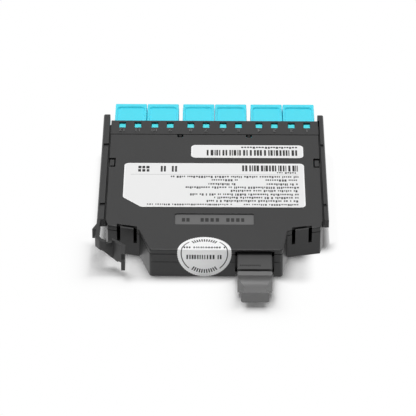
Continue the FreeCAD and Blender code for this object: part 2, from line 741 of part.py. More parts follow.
def lc_quad_adapter(number, quad):
    """Four LC ports back to back, with sleeve holders and tabs under the windows."""
    body = new_body(f"lc_quad_adapter_{number}", quad_centre(quad))
    pad(body, "block", "XY_Plane", QUAD_LOW, f"{QUAD_TOP} - {QUAD_LOW}",
        [rect("-quad_width / 2", QUAD_REAR, "quad_width / 2", QUAD_FRONT)])
    ports = [port_outline(port) for port in PORTS]
    pocket(body, "front_ports", "XZ_Plane", f"{QUAD_FRONT} - {PORT_DEPTH}", PORT_DEPTH, ports)
    pocket(body, "rear_ports", "XZ_Plane", QUAD_REAR, PORT_DEPTH, ports)
    length = "(sleeve_length + septum)"
    pad(body, "sleeve_holders", "XZ_Plane", f"{SEPTUM_MIDDLE} - {length} / 2", length,
        [ring(port, PORT_AXIS, HOLDER_RADIUS) for port in PORTS])
    pocket(body, "sleeve_bores", "XZ_Plane", f"{SEPTUM_MIDDLE} - {length} / 2", length,
           [ring(port, PORT_AXIS, f"{SLEEVE_RADIUS} + fibre_fit") for port in PORTS])
    near = f"({FRONT} - window_setback - window_length + quad_fit)"
    far = f"({FRONT} - window_setback - quad_fit)"
    half = "(window_width / 2 - quad_fit)"
    pad(body, "window_tabs", "XY_Plane", f"{QUAD_TOP} - wall / 4", "window_tab + wall / 4",
        [rect(f"{port} - {half}", near, f"{port} + {half}", far) for port in PORTS])
    rear = f"({SEAM} - ridge_back - quad_fit)"
    front = f"({rear} + ridge_length + 2 * quad_fit)"
    edge = "(quad_width / 2)"
    depth = "(ridge + quad_fit)"
    pocket(body, "ridge_slots", "XY_Plane", "0", f"{SPLIT} + wall",
           [rect(f"-{edge} - wall", rear, f"-{edge} + {depth}", front),
            rect(f"{edge} - {depth}", rear, f"{edge} + wall", front)])


def lc_sleeves(number, quad):
    """Ceramic alignment sleeves of one adapter."""
    body = new_body(f"lc_sleeves_{number}", quad_centre(quad))
    circles = []
    for port in PORTS:
        circles.append(ring(port, PORT_AXIS, SLEEVE_RADIUS))
        circles.append(ring(port, PORT_AXIS, "ferrule_bore / 2 + ferrule_fit"))
    pad(body, "tubes", "XZ_Plane", f"{SEPTUM_MIDDLE} - sleeve_length / 2", "sleeve_length",
        circles)


def lc_cap(number, quad, side):
    """Duplex dust cap: a dished grip with two hollow legs."""
    body = new_body(f"lc_cap_{number}", f"{quad_centre(quad)} + ({side}) * duplex_pitch / 2")
    near = f"({FRONT} + cap_gap)"
    far = f"({near} + cap_length)"
    low = f"({QUAD_MIDDLE} - cap_height / 2)"
    half = "(cap_width / 2)"
    pad(body, "grip", "XY_Plane", low, "cap_height", [rect(f"-{half}", near, half, far)])
    soften(body, "Fillet", "grip_edges", "cap_round",
           lambda box: same(box.YMax, value(far)) or box.YLength > value("cap_length / 2"))
    dish = rect(f"-{half} + cap_rim_side", f"{near} + cap_rim_near", f"{half} - cap_rim_side",
                f"{far} - cap_rim_far")
    pocket(body, "upper_dish", "XY_Plane", f"{low} + cap_height - cap_dish", "cap_dish", [dish])
    pocket(body, "lower_dish", "XY_Plane", low, "cap_dish", [dish])
    edge = value(f"{half} - cap_rim_side")
    soften(body, "Fillet", "dish_corners", "dish_round",
           lambda box: upright(box) and same(abs(box.XMin), edge))
    top = f"{low} + cap_height"
    soften(body, "Chamfer", "dish_slope", "cap_slope",
           lambda box: (level(box, low) or level(box, top)) and box.XMax < edge + 1e-3
           and box.XMin > -edge - 1e-3)
    ribs = [rect(f"-{half} - cap_rib", f"{near} + cap_round", f"-{half} + wall",
                 f"{far} - cap_round * 2"),
            rect(f"{half} - wall", f"{near} + cap_round", f"{half} + cap_rib",
                 f"{far} - cap_round * 2")]
    pad(body, "ribs", "XY_Plane", f"{low} + rib_drop", "cap_height - rib_drop * 2", ribs)
    axes = ("(-port_pitch / 2)", "(port_pitch / 2)")
    legs = [block(x, PORT_AXIS, LEG_SIZE, LEG_SIZE) for x in axes]
    pad(body, "legs", "XZ_Plane", f"{FRONT} - leg_length", "leg_length + cap_gap", legs)
    bores = [ring(x, PORT_AXIS, BORE_RADIUS) for x in axes]
    pocket(body, "leg_bores", "XZ_Plane", f"{FRONT} - leg_length", "leg_length", bores)


def port_positions():
    """Return x of the twelve ports from left to right, as expressions."""
    return [f"({quad_centre(quad)} + {port})" for quad in QUADS for port in PORTS]


def lc_plug(number, x):
    """Housing of one inner LC plug, with its latch in the port's slot."""
    body = new_body(f"lc_plug_{number:02d}", x)
    middle = ("0", PORT_AXIS)
    pad(body, "housing", "XZ_Plane", PLUG_REAR, "plug_length", [block(*middle, LEG_SIZE, LEG_SIZE)])
    low = f"({PORT_AXIS} + {LEG_SIZE} / 2 - wall / 4)"
    pad(body, "latch", "XY_Plane", low, "latch_height / 2 + wall / 4",
        [rect("-latch_width / 2 + leg_fit", f"{PLUG_FRONT} - plug_length / 2",
              "latch_width / 2 - leg_fit", f"{PLUG_FRONT} - wall")])
    pocket(body, "sleeve_bore", "XZ_Plane", f"{PLUG_FRONT} - sleeve_length / 2 - leg_fit",
           "sleeve_length / 2 + leg_fit", [ring(*middle, BORE_RADIUS)])
    pocket(body, "ferrule_bore", "XZ_Plane", FERRULE_REAR, f"{PLUG_FRONT} - {FERRULE_REAR}",
           [ring(*middle, "ferrule_bore / 2")])
    pocket(body, "fibre_bore", "XZ_Plane", PLUG_REAR, f"{FERRULE_REAR} - {PLUG_REAR}",
           [ring(*middle, "fibre / 2 + fibre_fit")])


def lc_ferrules(number, quad):
    """Ceramic ferrules of the four plugs behind one adapter."""
    body = new_body(f"lc_ferrules_{number}", quad_centre(quad))
    pad(body, "rods", "XZ_Plane", FERRULE_REAR, f"{SEPTUM_MIDDLE} - {FERRULE_REAR}",
        [ring(port, PORT_AXIS, "ferrule_bore / 2") for port in PORTS])


def lc_boots(number, quad):
    """Tapered boots of the four plugs behind one adapter."""
    body = new_body(f"lc_boots_{number}", quad_centre(quad))
    step = pad(body, "cones", "XZ_Plane", BOOT_REAR, "boot_length",
               [ring(port, PORT_AXIS, "boot_tip / 2") for port in PORTS])
    step.setExpression("TaperAngle", bind("atan((boot_width - boot_tip) / 2 / boot_length)"))
    DOC.recompute()
    pocket(body, "bores", "XZ_Plane", BOOT_REAR, "boot_length",
           [ring(port, PORT_AXIS, "fibre / 2 + fibre_fit") for port in PORTS])


def mpo_adapter():
    """Rear adapter: two MPO ports back to back, held by an ear on each side."""
    body = new_body("mpo_adapter", "mpo_offset")
    length = f"{MPO_INNER} - {MPO_OUTER}"
    pad(body, "block", "XZ_Plane", MPO_OUTER, length,
        [block("0", MPO_AXIS, "mpo_width", "mpo_height")])
    mouth = block("0", MPO_AXIS, "mpo_port_width", "mpo_port_height")
    pocket(body, "outer_port", "XZ_Plane", MPO_OUTER, MPO_PORT_DEPTH, [mouth])
    pocket(body, "inner_port", "XZ_Plane", f"{MPO_INNER} - {MPO_PORT_DEPTH}", MPO_PORT_DEPTH,
           [mouth])
    pocket(body, "ferrule_window", "XZ_Plane", f"{MPO_SEPTUM} - septum", "septum * 2",
           [block("0", MPO_AXIS, "ferrule_width + 2 * plug_fit",
                  "ferrule_height + 2 * plug_fit")])
    rear = f"({REAR} + ear_front - ear_length)"
    pad(body, "ears", "XY_Plane", f"{MPO_AXIS} - mpo_height / 2", "mpo_height - wall",
        [rect("-mpo_width / 2 - ear", rear, "mpo_width / 2 + ear", f"{rear} + ear_length")])
    pocket(body, "ear_clearance", "XZ_Plane", f"{rear} - wall", "ear_length + wall * 2", [mouth])
    soften(body, "Fillet", "long_edges", "edge_round",
           lambda box: box.YLength > value("mpo_outside") and box.XLength < 0.01
           and abs(abs(box.XMin) - value("mpo_width / 2")) < 0.01)


# Hollow of the MPO cap's grip: shares of the taper's length and of its drop.
SCOOP = ((0.06, 0.28), (0.18, 0.52), (0.36, 0.74), (0.58, 0.9), (0.8, 0.98))


def mpo_dust_cap():
    """Dust cap of the MPO port: plug, collar, waisted grip and end flange."""
    body = new_body("mpo_dust_cap", "mpo_offset")
    collar_front = f"({MPO_OUTER} - neck_gap)"
    collar_rear = f"({collar_front} - collar_length)"
    grip_rear = f"({collar_rear} - grip_length)"
    crease = f"({collar_rear} - grip_taper)"
    half = "(collar_height / 2)"
    pad(body, "plug", "XZ_Plane", collar_front, "leg_length + neck_gap",
        [block("0", MPO_AXIS, "mpo_port_width - 2 * plug_fit", "mpo_port_height - 2 * plug_fit")])
    waist = [
        ("-mpo_width / 2", collar_rear),
        ("-mpo_width / 2", collar_front),
        ("mpo_width / 2", collar_front),
        ("mpo_width / 2", collar_rear),
        ("grip_width / 2", crease),
        ("grip_width / 2", grip_rear),
        ("-grip_width / 2", grip_rear),
        ("-grip_width / 2", crease),
    ]
    pad(body, "grip", "XY_Plane", f"{MPO_AXIS} - {half}", "collar_height", [waist])
    soften(body, "Fillet", "collar_corners", "edge_round * 1.5",
           lambda box: upright(box) and same(box.YMin, value(collar_front))
           and same(abs(box.XMin), value("mpo_width / 2")))
    rise = f"({half} - grip_height / 2)"
    for side, sign in (("upper", "+"), ("lower", "-")):
        hollow = [(f"{collar_rear} - grip_taper * {along}",
                   f"{MPO_AXIS} {sign} ({half} - {rise} * {down})")
                  for along, down in SCOOP]
        scoop = [
            (collar_rear, f"{MPO_AXIS} {sign} {half}"),
            *hollow,
            (crease, f"{MPO_AXIS} {sign} grip_height / 2"),
            (f"{grip_rear} + flange_sweep * 2", f"{MPO_AXIS} {sign} grip_height / 2"),
            (f"{grip_rear} + flange_sweep", f"{MPO_AXIS} {sign} (grip_height + sweep_rise) / 2"),
            (grip_rear, f"{MPO_AXIS} {sign} (grip_height / 2 + sweep_rise)"),
            (grip_rear, f"{MPO_AXIS} {sign} {half} {sign} wall"),
            (collar_rear, f"{MPO_AXIS} {sign} {half} {sign} wall"),
        ]
        pocket(body, f"{side}_scoop", "YZ_Plane", "-mpo_width", "mpo_width * 2", [scoop])
    pad(body, "flange", "XZ_Plane", f"{grip_rear} - flange_thick", "flange_thick",
        [block("0", MPO_AXIS, "flange_width", "flange_height")])
    soften(body, "Fillet", "flange_corners", "flange_thick",
           lambda box: same(abs(box.XMin), value("flange_width / 2"))
           and same(box.XMin, box.XMax) and same(box.ZMin, box.ZMax))


def mpo_plug():
    """Housing of the inner MPO plug."""
    body = new_body("mpo_plug", "mpo_offset")
    pad(body, "housing", "XZ_Plane", MPO_PLUG_FRONT, "mpo_plug_length",
        [block("0", MPO_AXIS, "mpo_port_width - 2 * plug_fit", "mpo_port_height - 2 * plug_fit")])
    depth = f"({MPO_SEPTUM} + ferrule_length - {MPO_PLUG_FRONT})"
    pocket(body, "ferrule_seat", "XZ_Plane", MPO_PLUG_FRONT, depth,
           [block("0", MPO_AXIS, "ferrule_width", "ferrule_height")])
    pocket(body, "ribbon_slot", "XZ_Plane", f"{MPO_SEPTUM} + ferrule_length",
           f"{MPO_PLUG_REAR} - {MPO_SEPTUM} - ferrule_length", [ribbon_section("fibre_fit")])


def ribbon_section(gap):
    """Return the ribbon's outline with a gap all round."""
    return block("0", MPO_AXIS, f"ribbon_width + 2 * {gap}", f"ribbon_height + 2 * {gap}")


def mt_ferrule():
    """Twelve-fibre ferrule of the inner MPO plug, with its two pin holes."""
    body = new_body("mt_ferrule", "mpo_offset")
    pad(body, "block", "XZ_Plane", MPO_SEPTUM, "ferrule_length",
        [block("0", MPO_AXIS, "ferrule_width", "ferrule_height")])
    pocket(body, "pin_holes", "XZ_Plane", MPO_SEPTUM, "ferrule_length",
           [ring(f"{side} * pin_pitch / 2", MPO_AXIS, "pin_size / 2") for side in ("-1", "1")])


def guide_pins():
    """Two steel pins that line the ferrule up with its mate."""
    body = new_body("guide_pins", "mpo_offset")
    reach = "(pin_size * 3)"
    pad(body, "rods", "XZ_Plane", f"{MPO_SEPTUM} - {reach}", f"ferrule_length + {reach}",
        [ring(f"{side} * pin_pitch / 2", MPO_AXIS, "pin_size / 2") for side in ("-1", "1")])


def mpo_boot():
    """Short boot where the ribbon leaves the inner MPO plug."""
    body = new_body("mpo_boot", "mpo_offset")
    pad(body, "sleeve", "XZ_Plane", MPO_PLUG_REAR, "mpo_boot_length",
        [block("0", MPO_AXIS, "ferrule_width", "ferrule_height")])
    pocket(body, "slot", "XZ_Plane", MPO_PLUG_REAR, "mpo_boot_length",
           [ribbon_section("fibre_fit")])


def fibre_ribbon():
    """Flat ribbon from the MPO ferrule to the fan-out block."""
    body = new_body("fibre_ribbon", "mpo_offset")
    start = f"({MPO_SEPTUM} + ferrule_length)"
    pad(body, "strip", "XZ_Plane", start, f"{FANOUT_REAR} + wall - {start}",
        [ribbon_section("0")])


def slot_position(number):
    """Return x of a fibre's slot in the fan-out block, counted from the left."""
    return f"(mpo_offset + ({number} - {FIBRES - 1} / 2) * fibre_pitch)"


def fanout_block():
    """Block that splits the ribbon into twelve buffered fibres."""
    body = new_body("fanout_block")
    middle = "mpo_offset"
    pad(body, "block", "XZ_Plane", FANOUT_REAR, "fanout_length",
        [block(middle, MPO_AXIS, FANOUT_WIDTH, "fanout_height")])
    pocket(body, "ribbon_slot", "XZ_Plane", FANOUT_REAR, "wall",
           [block(middle, MPO_AXIS, "ribbon_width", "ribbon_height")])
    pocket(body, "fibre_holes", "XZ_Plane", f"{FANOUT_FRONT} - wall * 2", "wall * 2",
           [ring(slot_position(number), MPO_AXIS, "fibre / 2") for number in range(FIBRES)])


def fibre_path(number, x):
    """Return one fibre's centre line: straight, bend, cross run, bend, straight."""
    start = value(x)
    end = value(slot_position(number))
    radius = value(BEND_RADIUS)
    across = end - start
    side = math.copysign(1, across)
    angle = math.acos(max(0.0, 1 - abs(across) / (2 * radius)))
    lane = value(FIRST_LANE) + min(number, FIBRES - 1 - number) * value("fibre_pitch")
    height = value(PORT_AXIS)
    drop = radius * math.sin(angle)
    inset = radius * (1 - math.cos(angle))
    middle = (1 - math.cos(angle / 2)) * radius
    lead = math.sin(angle / 2) * radius

    def spot(x_place, y_place):
        return FreeCAD.Vector(x_place, y_place, height)

    first = [spot(start, lane + drop), spot(start + side * middle, lane + drop - lead),
             spot(start + side * inset, lane)]
    last = [spot(end - side * inset, lane), spot(end - side * middle, lane - drop + lead),
            spot(end, lane - drop)]
    edges = [Part.LineSegment(spot(start, value(FERRULE_REAR)), first[0]), Part.Arc(*first)]
    if abs(across) > 2 * radius + 1e-6:
        edges.append(Part.LineSegment(first[2], last[0]))
    edges += [Part.Arc(*last),
              Part.LineSegment(last[2], spot(end, value(f"{FANOUT_FRONT} - wall * 2")))]
    return Part.Wire([edge.toShape() for edge in edges])


def fibres(number, first_port):
    """Four buffered fibres, from the ferrules behind one adapter to the fan-out block."""
    ports = port_positions()
    radius = value("fibre / 2")
    solids = []
    for port in range(first_port, first_port + 4):
        path = fibre_path(port, ports[port])
        begin = path.OrderedVertexes[0].Point
        profile = Part.Wire(Part.makeCircle(radius, begin, FreeCAD.Vector(0, -1, 0)))
        solid = path.makePipeShell([profile], True, True)
        expected = math.pi * radius ** 2 * path.Length
        if abs(solid.Volume - expected) > 0.01 * expected:
            raise ValueError(f"fibre {port + 1}: volume {solid.Volume:.3f}, not {expected:.3f}")
        solids.append(solid)
    feature = DOC.addObject("Part::Feature", f"fibres_{number}")
    feature.Label = f"fibres_{number}"
    feature.Shape = Part.makeCompound(solids)
    PARTS.append(feature)


def main_label():
    """Large printed label with one cut corner."""
    body = new_body("main_label")
    rear = f"({REAR} + label_rear)"
    front = f"({rear} + label_length)"
    outline_points = [
        ("-label_left + label_cut", rear),
        ("label_right", rear),
        ("label_right", front),
        ("-label_left", front),
        ("-label_left", f"{rear} + label_cut"),
    ]
    pad(body, "sheet", "XY_Plane", "casing_height", "label_thick", [outline_points])
    soften(body, "Fillet", "corners", "label_round", upright)


def serial_label():
    """Small barcode label ahead of the large one."""
    body = new_body("serial_label")
    rear = f"({REAR} + serial_rear)"
    pad(body, "sheet", "XY_Plane", "casing_height", "label_thick",
        [rect("-serial_left", rear, "serial_right", f"{rear} + serial_length")])
    soften(body, "Fillet", "corners", "label_round", upright)


def seal_sticker():
    """Round seal folded over the rear top edge, half on the cover, half on the rear face."""
    body = new_body("seal_sticker", "-seal_x")
    top = "casing_height"
    back = f"({REAR} - label_thick)"
    pad(body, "top_half", "XY_Plane", top, "label_thick",
        [ring("0", f"{REAR} - seal_drop", "seal_radius")])
    pocket(body, "top_trim", "XY_Plane", top, "label_thick",
           [rect("-seal_radius * 2", f"{back} - seal_radius * 3", "seal_radius * 2", back)])
    pad(body, "rear_half", "XZ_Plane", back, "label_thick",
        [ring("0", f"{top} - seal_drop", "seal_radius")])
    pocket(body, "rear_trim", "XZ_Plane", back, "label_thick",
           [rect("-seal_radius * 2", f"{top} + label_thick", "seal_radius * 2",
                 f"{top} + seal_radius * 3")])


def build():
    """Make every sub-part."""
    fill_sheet()
    base_shell()
    top_cover()
    release_lever()
    for number, quad in enumerate(QUADS, start=1):
        lc_quad_adapter(number, quad)
        lc_sleeves(number, quad)
        lc_ferrules(number, quad)
        lc_boots(number, quad)
        fibres(number, (number - 1) * len(PORTS))
        for half, side in enumerate(("-1", "1")):
            lc_cap(2 * number - 1 + half, quad, side)
    for number, x in enumerate(port_positions(), start=1):
        lc_plug(number, x)
    mpo_adapter()
    mpo_dust_cap()
    mpo_plug()
    mt_ferrule()
    guide_pins()
    mpo_boot()
    fibre_ribbon()
    fanout_block()
    main_label()
    serial_label()
    seal_sticker()


def check():
    """Stop unless every object and every sub-part's shape is sound."""
    DOC.recompute()
    for item in DOC.Objects:
        if "Invalid" in item.State or "Error" in item.State:
            raise ValueError(f"{item.Label} failed: {item.State}")
    for part in PARTS:
        if part.Shape.isNull() or not part.Shape.isValid():
            raise ValueError(f"{part.Label} has no valid shape")


def export():
    """Write one STEP file for each sub-part."""
    os.makedirs("parts", exist_ok=True)
    for part in PARTS:
        part.Shape.exportStep(f"parts/{part.Label}.step")
        box = part.Shape.BoundBox
        print(f"{part.Label}: {len(part.Shape.Solids)} solids, {part.Shape.Volume:.1f} mm3, "
              f"x {box.XMin:.2f} to {box.XMax:.2f}, y {box.YMin:.2f} to {box.YMax:.2f}, "
              f"z {box.ZMin:.2f} to {box.ZMax:.2f}")


build()
check()
export()
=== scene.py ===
"""Looks of the fibre cassette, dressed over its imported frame.

Lengths are metres and the frame is the part's own: origin in the middle of the casing's
underside, +X to the right seen from the rear, +Y towards the LC ports, +Z up.
"""
import json
import logging
import math
import random
from dataclasses import dataclass
from enum import Enum
from typing import Callable, Iterable, Optional, Sequence, Union

import bpy
from mathutils import Matrix, Vector


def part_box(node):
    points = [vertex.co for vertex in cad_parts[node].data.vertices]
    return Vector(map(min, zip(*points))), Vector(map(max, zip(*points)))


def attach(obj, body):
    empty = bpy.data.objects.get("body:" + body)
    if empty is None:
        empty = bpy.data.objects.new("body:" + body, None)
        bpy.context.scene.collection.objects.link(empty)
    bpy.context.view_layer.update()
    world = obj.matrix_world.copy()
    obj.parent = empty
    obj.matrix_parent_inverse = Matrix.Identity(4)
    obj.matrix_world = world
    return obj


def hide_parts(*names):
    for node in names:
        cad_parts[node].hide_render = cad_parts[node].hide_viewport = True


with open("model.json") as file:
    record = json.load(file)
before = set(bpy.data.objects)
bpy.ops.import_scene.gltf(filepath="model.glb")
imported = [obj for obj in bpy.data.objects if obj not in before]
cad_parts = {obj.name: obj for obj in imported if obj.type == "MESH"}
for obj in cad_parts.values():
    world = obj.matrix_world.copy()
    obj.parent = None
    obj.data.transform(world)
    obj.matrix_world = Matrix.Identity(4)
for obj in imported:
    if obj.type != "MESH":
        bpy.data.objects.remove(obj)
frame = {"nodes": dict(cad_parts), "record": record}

LOG = logging.getLogger("cassette")
MM = 0.001
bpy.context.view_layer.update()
Colour = tuple[float, float, float]
Number = Union[float, "Signal"]


# -------- shader maths


def maths(operation: str, swapped: bool = False) -> Callable[..., "Signal"]:
    """Make a method that adds a Math node to the signal that it is called on.

    Args:
        operation: the Math node's operation.
        swapped: whether the signal is the last operand instead of the first.

    Returns:
        The method.
    """
    def method(self: "Signal", *others: Number) -> "Signal":
        """Add the node.

        Args:
            others: the other operands.

        Returns:
            The result as a signal.
        """
        values = (*others, self) if swapped else (self, *others)
        node = self.graph.node("ShaderNodeMath", *values, settings={"operation": operation})
        return Signal(self.graph, node.outputs[0])

    return method


class Signal:
    """A value socket of a material, with arithmetic that adds Math nodes."""

    __add__ = __radd__ = maths("ADD")
    __sub__ = maths("SUBTRACT")
    __rsub__ = maths("SUBTRACT", swapped=True)
    __mul__ = __rmul__ = maths("MULTIPLY")
    __truediv__ = maths("DIVIDE")
    above = maths("GREATER_THAN")   # one where it is above a level, else nought
    highest = maths("MAXIMUM")
    lowest = maths("MINIMUM")
    root = maths("SQRT")
    exp = maths("EXPONENT")

    def __init__(self, graph: "Graph", socket: bpy.types.NodeSocket) -> None:
        """Wrap a socket that gives one number."""
        self.graph = graph
        self.socket = socket

    def rise(self, start: float, end: float) -> "Signal":
        """Climb smoothly from nought to one between two levels.

        Args:
            start: the level at which it is nought.
            end: the level at which it is one.

        Returns:
            The climb.
        """
        node = self.graph.node("ShaderNodeMapRange", self, start, end, 0.0, 1.0,
                               settings={"interpolation_type": "SMOOTHSTEP"})
        return Signal(self.graph, node.outputs[0])


class Graph:
    """The nodes of a material, or of the room's light, built one at a time."""

    def __init__(self, name: str, room: bool = False) -> None:
        """Start with nothing but an output.

        Args:
            name: the material's name.
            room: whether it lights the room instead.
        """
        self.owner = (bpy.data.worlds if room else bpy.data.materials).new(name)
        self.owner.use_nodes = True
        self.tree = self.owner.node_tree
        self.tree.nodes.clear()
        self.output = self.node("ShaderNodeOutputWorld" if room else "ShaderNodeOutputMaterial")

    def node(self, kind: str, *inputs: object, settings: Optional[dict] = None,
             **named: object) -> bpy.types.Node:
        """Add a node, set it up and feed its sockets.

        Args:
            kind: the node's type.
            inputs: values or links for the sockets in order.
            settings: properties to set first.
            named: values or links for sockets by name, with "_" for a space.

        Returns:
            The node.
        """
        node = self.tree.nodes.new(kind)
        for key, setting in (settings or {}).items():
            setattr(node, key, setting)
        for socket, given in zip(node.inputs, inputs):
            self._feed(socket, given)
        for key, given in named.items():
            self._feed(node.inputs[key.replace("_", " ")], given)
        return node

    def _feed(self, socket: bpy.types.NodeSocket, given: object) -> None:
        """Link a signal or a socket to a socket, or set its value.

        Args:
            socket: the socket to feed.
            given: the signal, socket or value.
        """
        if isinstance(given, Signal):
            given = given.socket
        if isinstance(given, bpy.types.NodeSocket):
            self.tree.links.new(given, socket)
        elif socket.type == "RGBA":
            socket.default_value = (*given, 1)
        else:
            socket.default_value = given

    def place(self) -> bpy.types.NodeSocket:
        """Return the object's own coordinates, in metres."""
        return self.node("ShaderNodeTexCoord").outputs["Object"]

    def noise(self, size: float, detail: float = 2.0, stretch: Optional[Colour] = None) -> Signal:
        """Return a noise about 0.5.

        Args:
            size: width of its features, in metres.
            detail: number of finer layers.
            stretch: scale along each axis, for a grain that runs one way.

        Returns:
            The noise.
        """
        place = self.place()
        if stretch is not None:
            place = self.node("ShaderNodeMapping", place, Scale=stretch).outputs[0]
        node = self.node("ShaderNodeTexNoise", Vector=place, Scale=1 / size, Detail=detail)
        return Signal(self, node.outputs["Fac"])

    def axes(self, place: bpy.types.NodeSocket) -> list["Signal"]:
        """Return the x, y and z of a place as signals."""
        node = self.node("ShaderNodeSeparateXYZ", place)
        return [Signal(self, socket) for socket in node.outputs]

    def rays(self) -> tuple["Signal", "Signal"]:
        """Tell rays apart.

        Returns:
            One for what the camera sees straight, and one for gloss and glass.
        """
        path = self.node("ShaderNodeLightPath").outputs
        camera, glossy, through = (Signal(self, path[f"Is {kind} Ray"])
                                   for kind in ("Camera", "Glossy", "Transmission"))
        return camera, glossy.highest(through)

    def blend(self, share: Number, low: object, high: object) -> bpy.types.NodeSocket:
        """Mix two colours.

        Args:
            share: share of the second colour.
            low: the first colour.
            high: the second colour.

        Returns:
            The mixed colour.
        """
        node = self.node("ShaderNodeMix", share, settings={"data_type": "RGBA"})
        self._feed(node.inputs[6], low)
        self._feed(node.inputs[7], high)
        return node.outputs[2]

    def surface(self, **named: object) -> bpy.types.Material:
        """Close the material with a Principled shader.

        Args:
            named: its sockets by name, with "_" for a space.

        Returns:
            The material.
        """
        return self.close(self.node("ShaderNodeBsdfPrincipled", **named))

    def close(self, last: bpy.types.Node) -> bpy.types.Material:
        """Link the last node to the output and return what the nodes belong to."""
        self.tree.links.new(last.outputs[0], self.output.inputs[0])
        return self.owner


def tint(colour: Colour, factor: float) -> Colour:
    """Return a colour made lighter or darker by a factor."""
    return tuple(min(1.0, channel * factor) for channel in colour)


def grey(level: float) -> Colour:
    """Return the linear colour of an 8-bit display grey.

    Args:
        level: the grey, from 0 to 255.

    Returns:
        The colour.
    """
    share = level / 255
    linear = share / 12.92 if share <= 0.04045 else ((share + 0.055) / 1.055) ** 2.4
    return (linear, linear, linear)


# -------- finishes


@dataclass(frozen=True)
class Finish:
    """A finish, which makes a material of its own name."""

    name: str
    colour: Colour

    def material(self) -> bpy.types.Material:
        """Build the material.

        Returns:
            The material.
        """
        return self.shade(Graph(self.name))

    def shade(self, graph: Graph) -> bpy.types.Material:
        """Add the finish's nodes and close the material.

        Args:
            graph: the material's empty graph.

        Returns:
            The material.
        """
        raise NotImplementedError

    def drift(self, graph: Graph, share: Signal, dark: float,
              light: float) -> bpy.types.NodeSocket:
        """Return the colour as it drifts between two factors of itself."""
        return graph.blend(share, tint(self.colour, dark), tint(self.colour, light))


@dataclass(frozen=True)
class MouldedPlastic(Finish):
    """Injection-moulded plastic with a spark-eroded texture."""

    roughness: float = 0.42
    grain: float = 0.28 * MM        # width of the texture's pits
    depth: float = 0.012 * MM       # depth of the texture
    mottle: float = 0.06            # share by which the colour drifts
    shine: float = 0.3              # specular level
    cloud: float = 14 * MM          # width of the slow drift
    flow: float = 4 * MM            # width of the flow lines
    flow_way: Colour = (1.0, 0.25, 1.0)

    def shade(self, graph: Graph) -> bpy.types.Material:
        """Add slow drift, flow lines and pits.

        Args:
            graph: the material's empty graph.

        Returns:
            The material.
        """
        cloud = graph.noise(self.cloud, 3)
        pits = graph.noise(self.grain, 3)
        flow = graph.noise(self.flow, 2, self.flow_way)
        colour = self.drift(graph, 0.6 * cloud + 0.4 * flow, 1 - self.mottle, 1 + self.mottle)
        rough = self.roughness - 0.09 + 0.1 * pits + 0.08 * flow
        bump = graph.node("ShaderNodeBump", Strength=0.6, Distance=self.depth, Height=pits)
        return graph.surface(Base_Color=colour, Roughness=rough, Normal=bump.outputs[0],
                             Specular_IOR_Level=self.shine)


@dataclass(frozen=True)
class PrintStock(Finish):
    """Matt white film that a label or seal is cut from."""

    fibre: float = 0.35 * MM        # width of the web's fibres
    fibre_way: Colour = (1.0, 2.5, 1.0)
    cloud: float = 9 * MM
    depth: float = 0.006 * MM
    roughness: float = 0.5
    shine: float = 0.35

    def shade(self, graph: Graph) -> bpy.types.Material:
        """Add the film's web and a faint cloud.

        Args:
            graph: the material's empty graph.

        Returns:
            The material.
        """
        web = graph.noise(self.fibre, 4, self.fibre_way)
        cloud = graph.noise(self.cloud, 2)
        colour = self.drift(graph, 0.5 * web + 0.5 * cloud, 0.985, 1.01)
        rough = self.roughness - 0.05 + 0.1 * web
        bump = graph.node("ShaderNodeBump", Strength=0.4, Distance=self.depth, Height=web)
        return graph.surface(Base_Color=colour, Roughness=rough, Normal=bump.outputs[0],
                             Specular_IOR_Level=self.shine)


@dataclass(frozen=True)
class Ink(Finish):
    """Transfer print: a thin colour with tiny gaps where the ink is starved."""

    starved: Colour
    speck: float = 0.12 * MM
    starved_above: float = 0.62     # noise past which the ink is starved
    starved_share: float = 0.35

    def shade(self, graph: Graph) -> bpy.types.Material:
        """Add the gaps.

        Args:
            graph: the material's empty graph.

        Returns:
            The material.
        """
        gaps = graph.noise(self.speck, 3)
        share = self.starved_share * gaps.above(self.starved_above)
        return graph.surface(Base_Color=graph.blend(share, self.colour, self.starved),
                             Roughness=0.4 + 0.2 * gaps, Specular_IOR_Level=0.4)


@dataclass(frozen=True)
class GroundStock(Finish):
    """A hard surface with fine grinding lines: polished ceramic or steel."""

    line: float                     # width of the lines
    line_way: Colour
    spread: tuple                   # darkest and lightest factor of the colour
    roughness: float
    rough_span: float
    metallic: float = 0.0
    coat: float = 0.0

    def shade(self, graph: Graph) -> bpy.types.Material:
        """Add the grinding lines.

        Args:
            graph: the material's empty graph.

        Returns:
            The material.
        """
        lines = graph.noise(self.line, 2, self.line_way)
        return graph.surface(Base_Color=self.drift(graph, lines, *self.spread),
                             Roughness=self.roughness + self.rough_span * lines,
                             Metallic=self.metallic, Coat_Weight=self.coat)


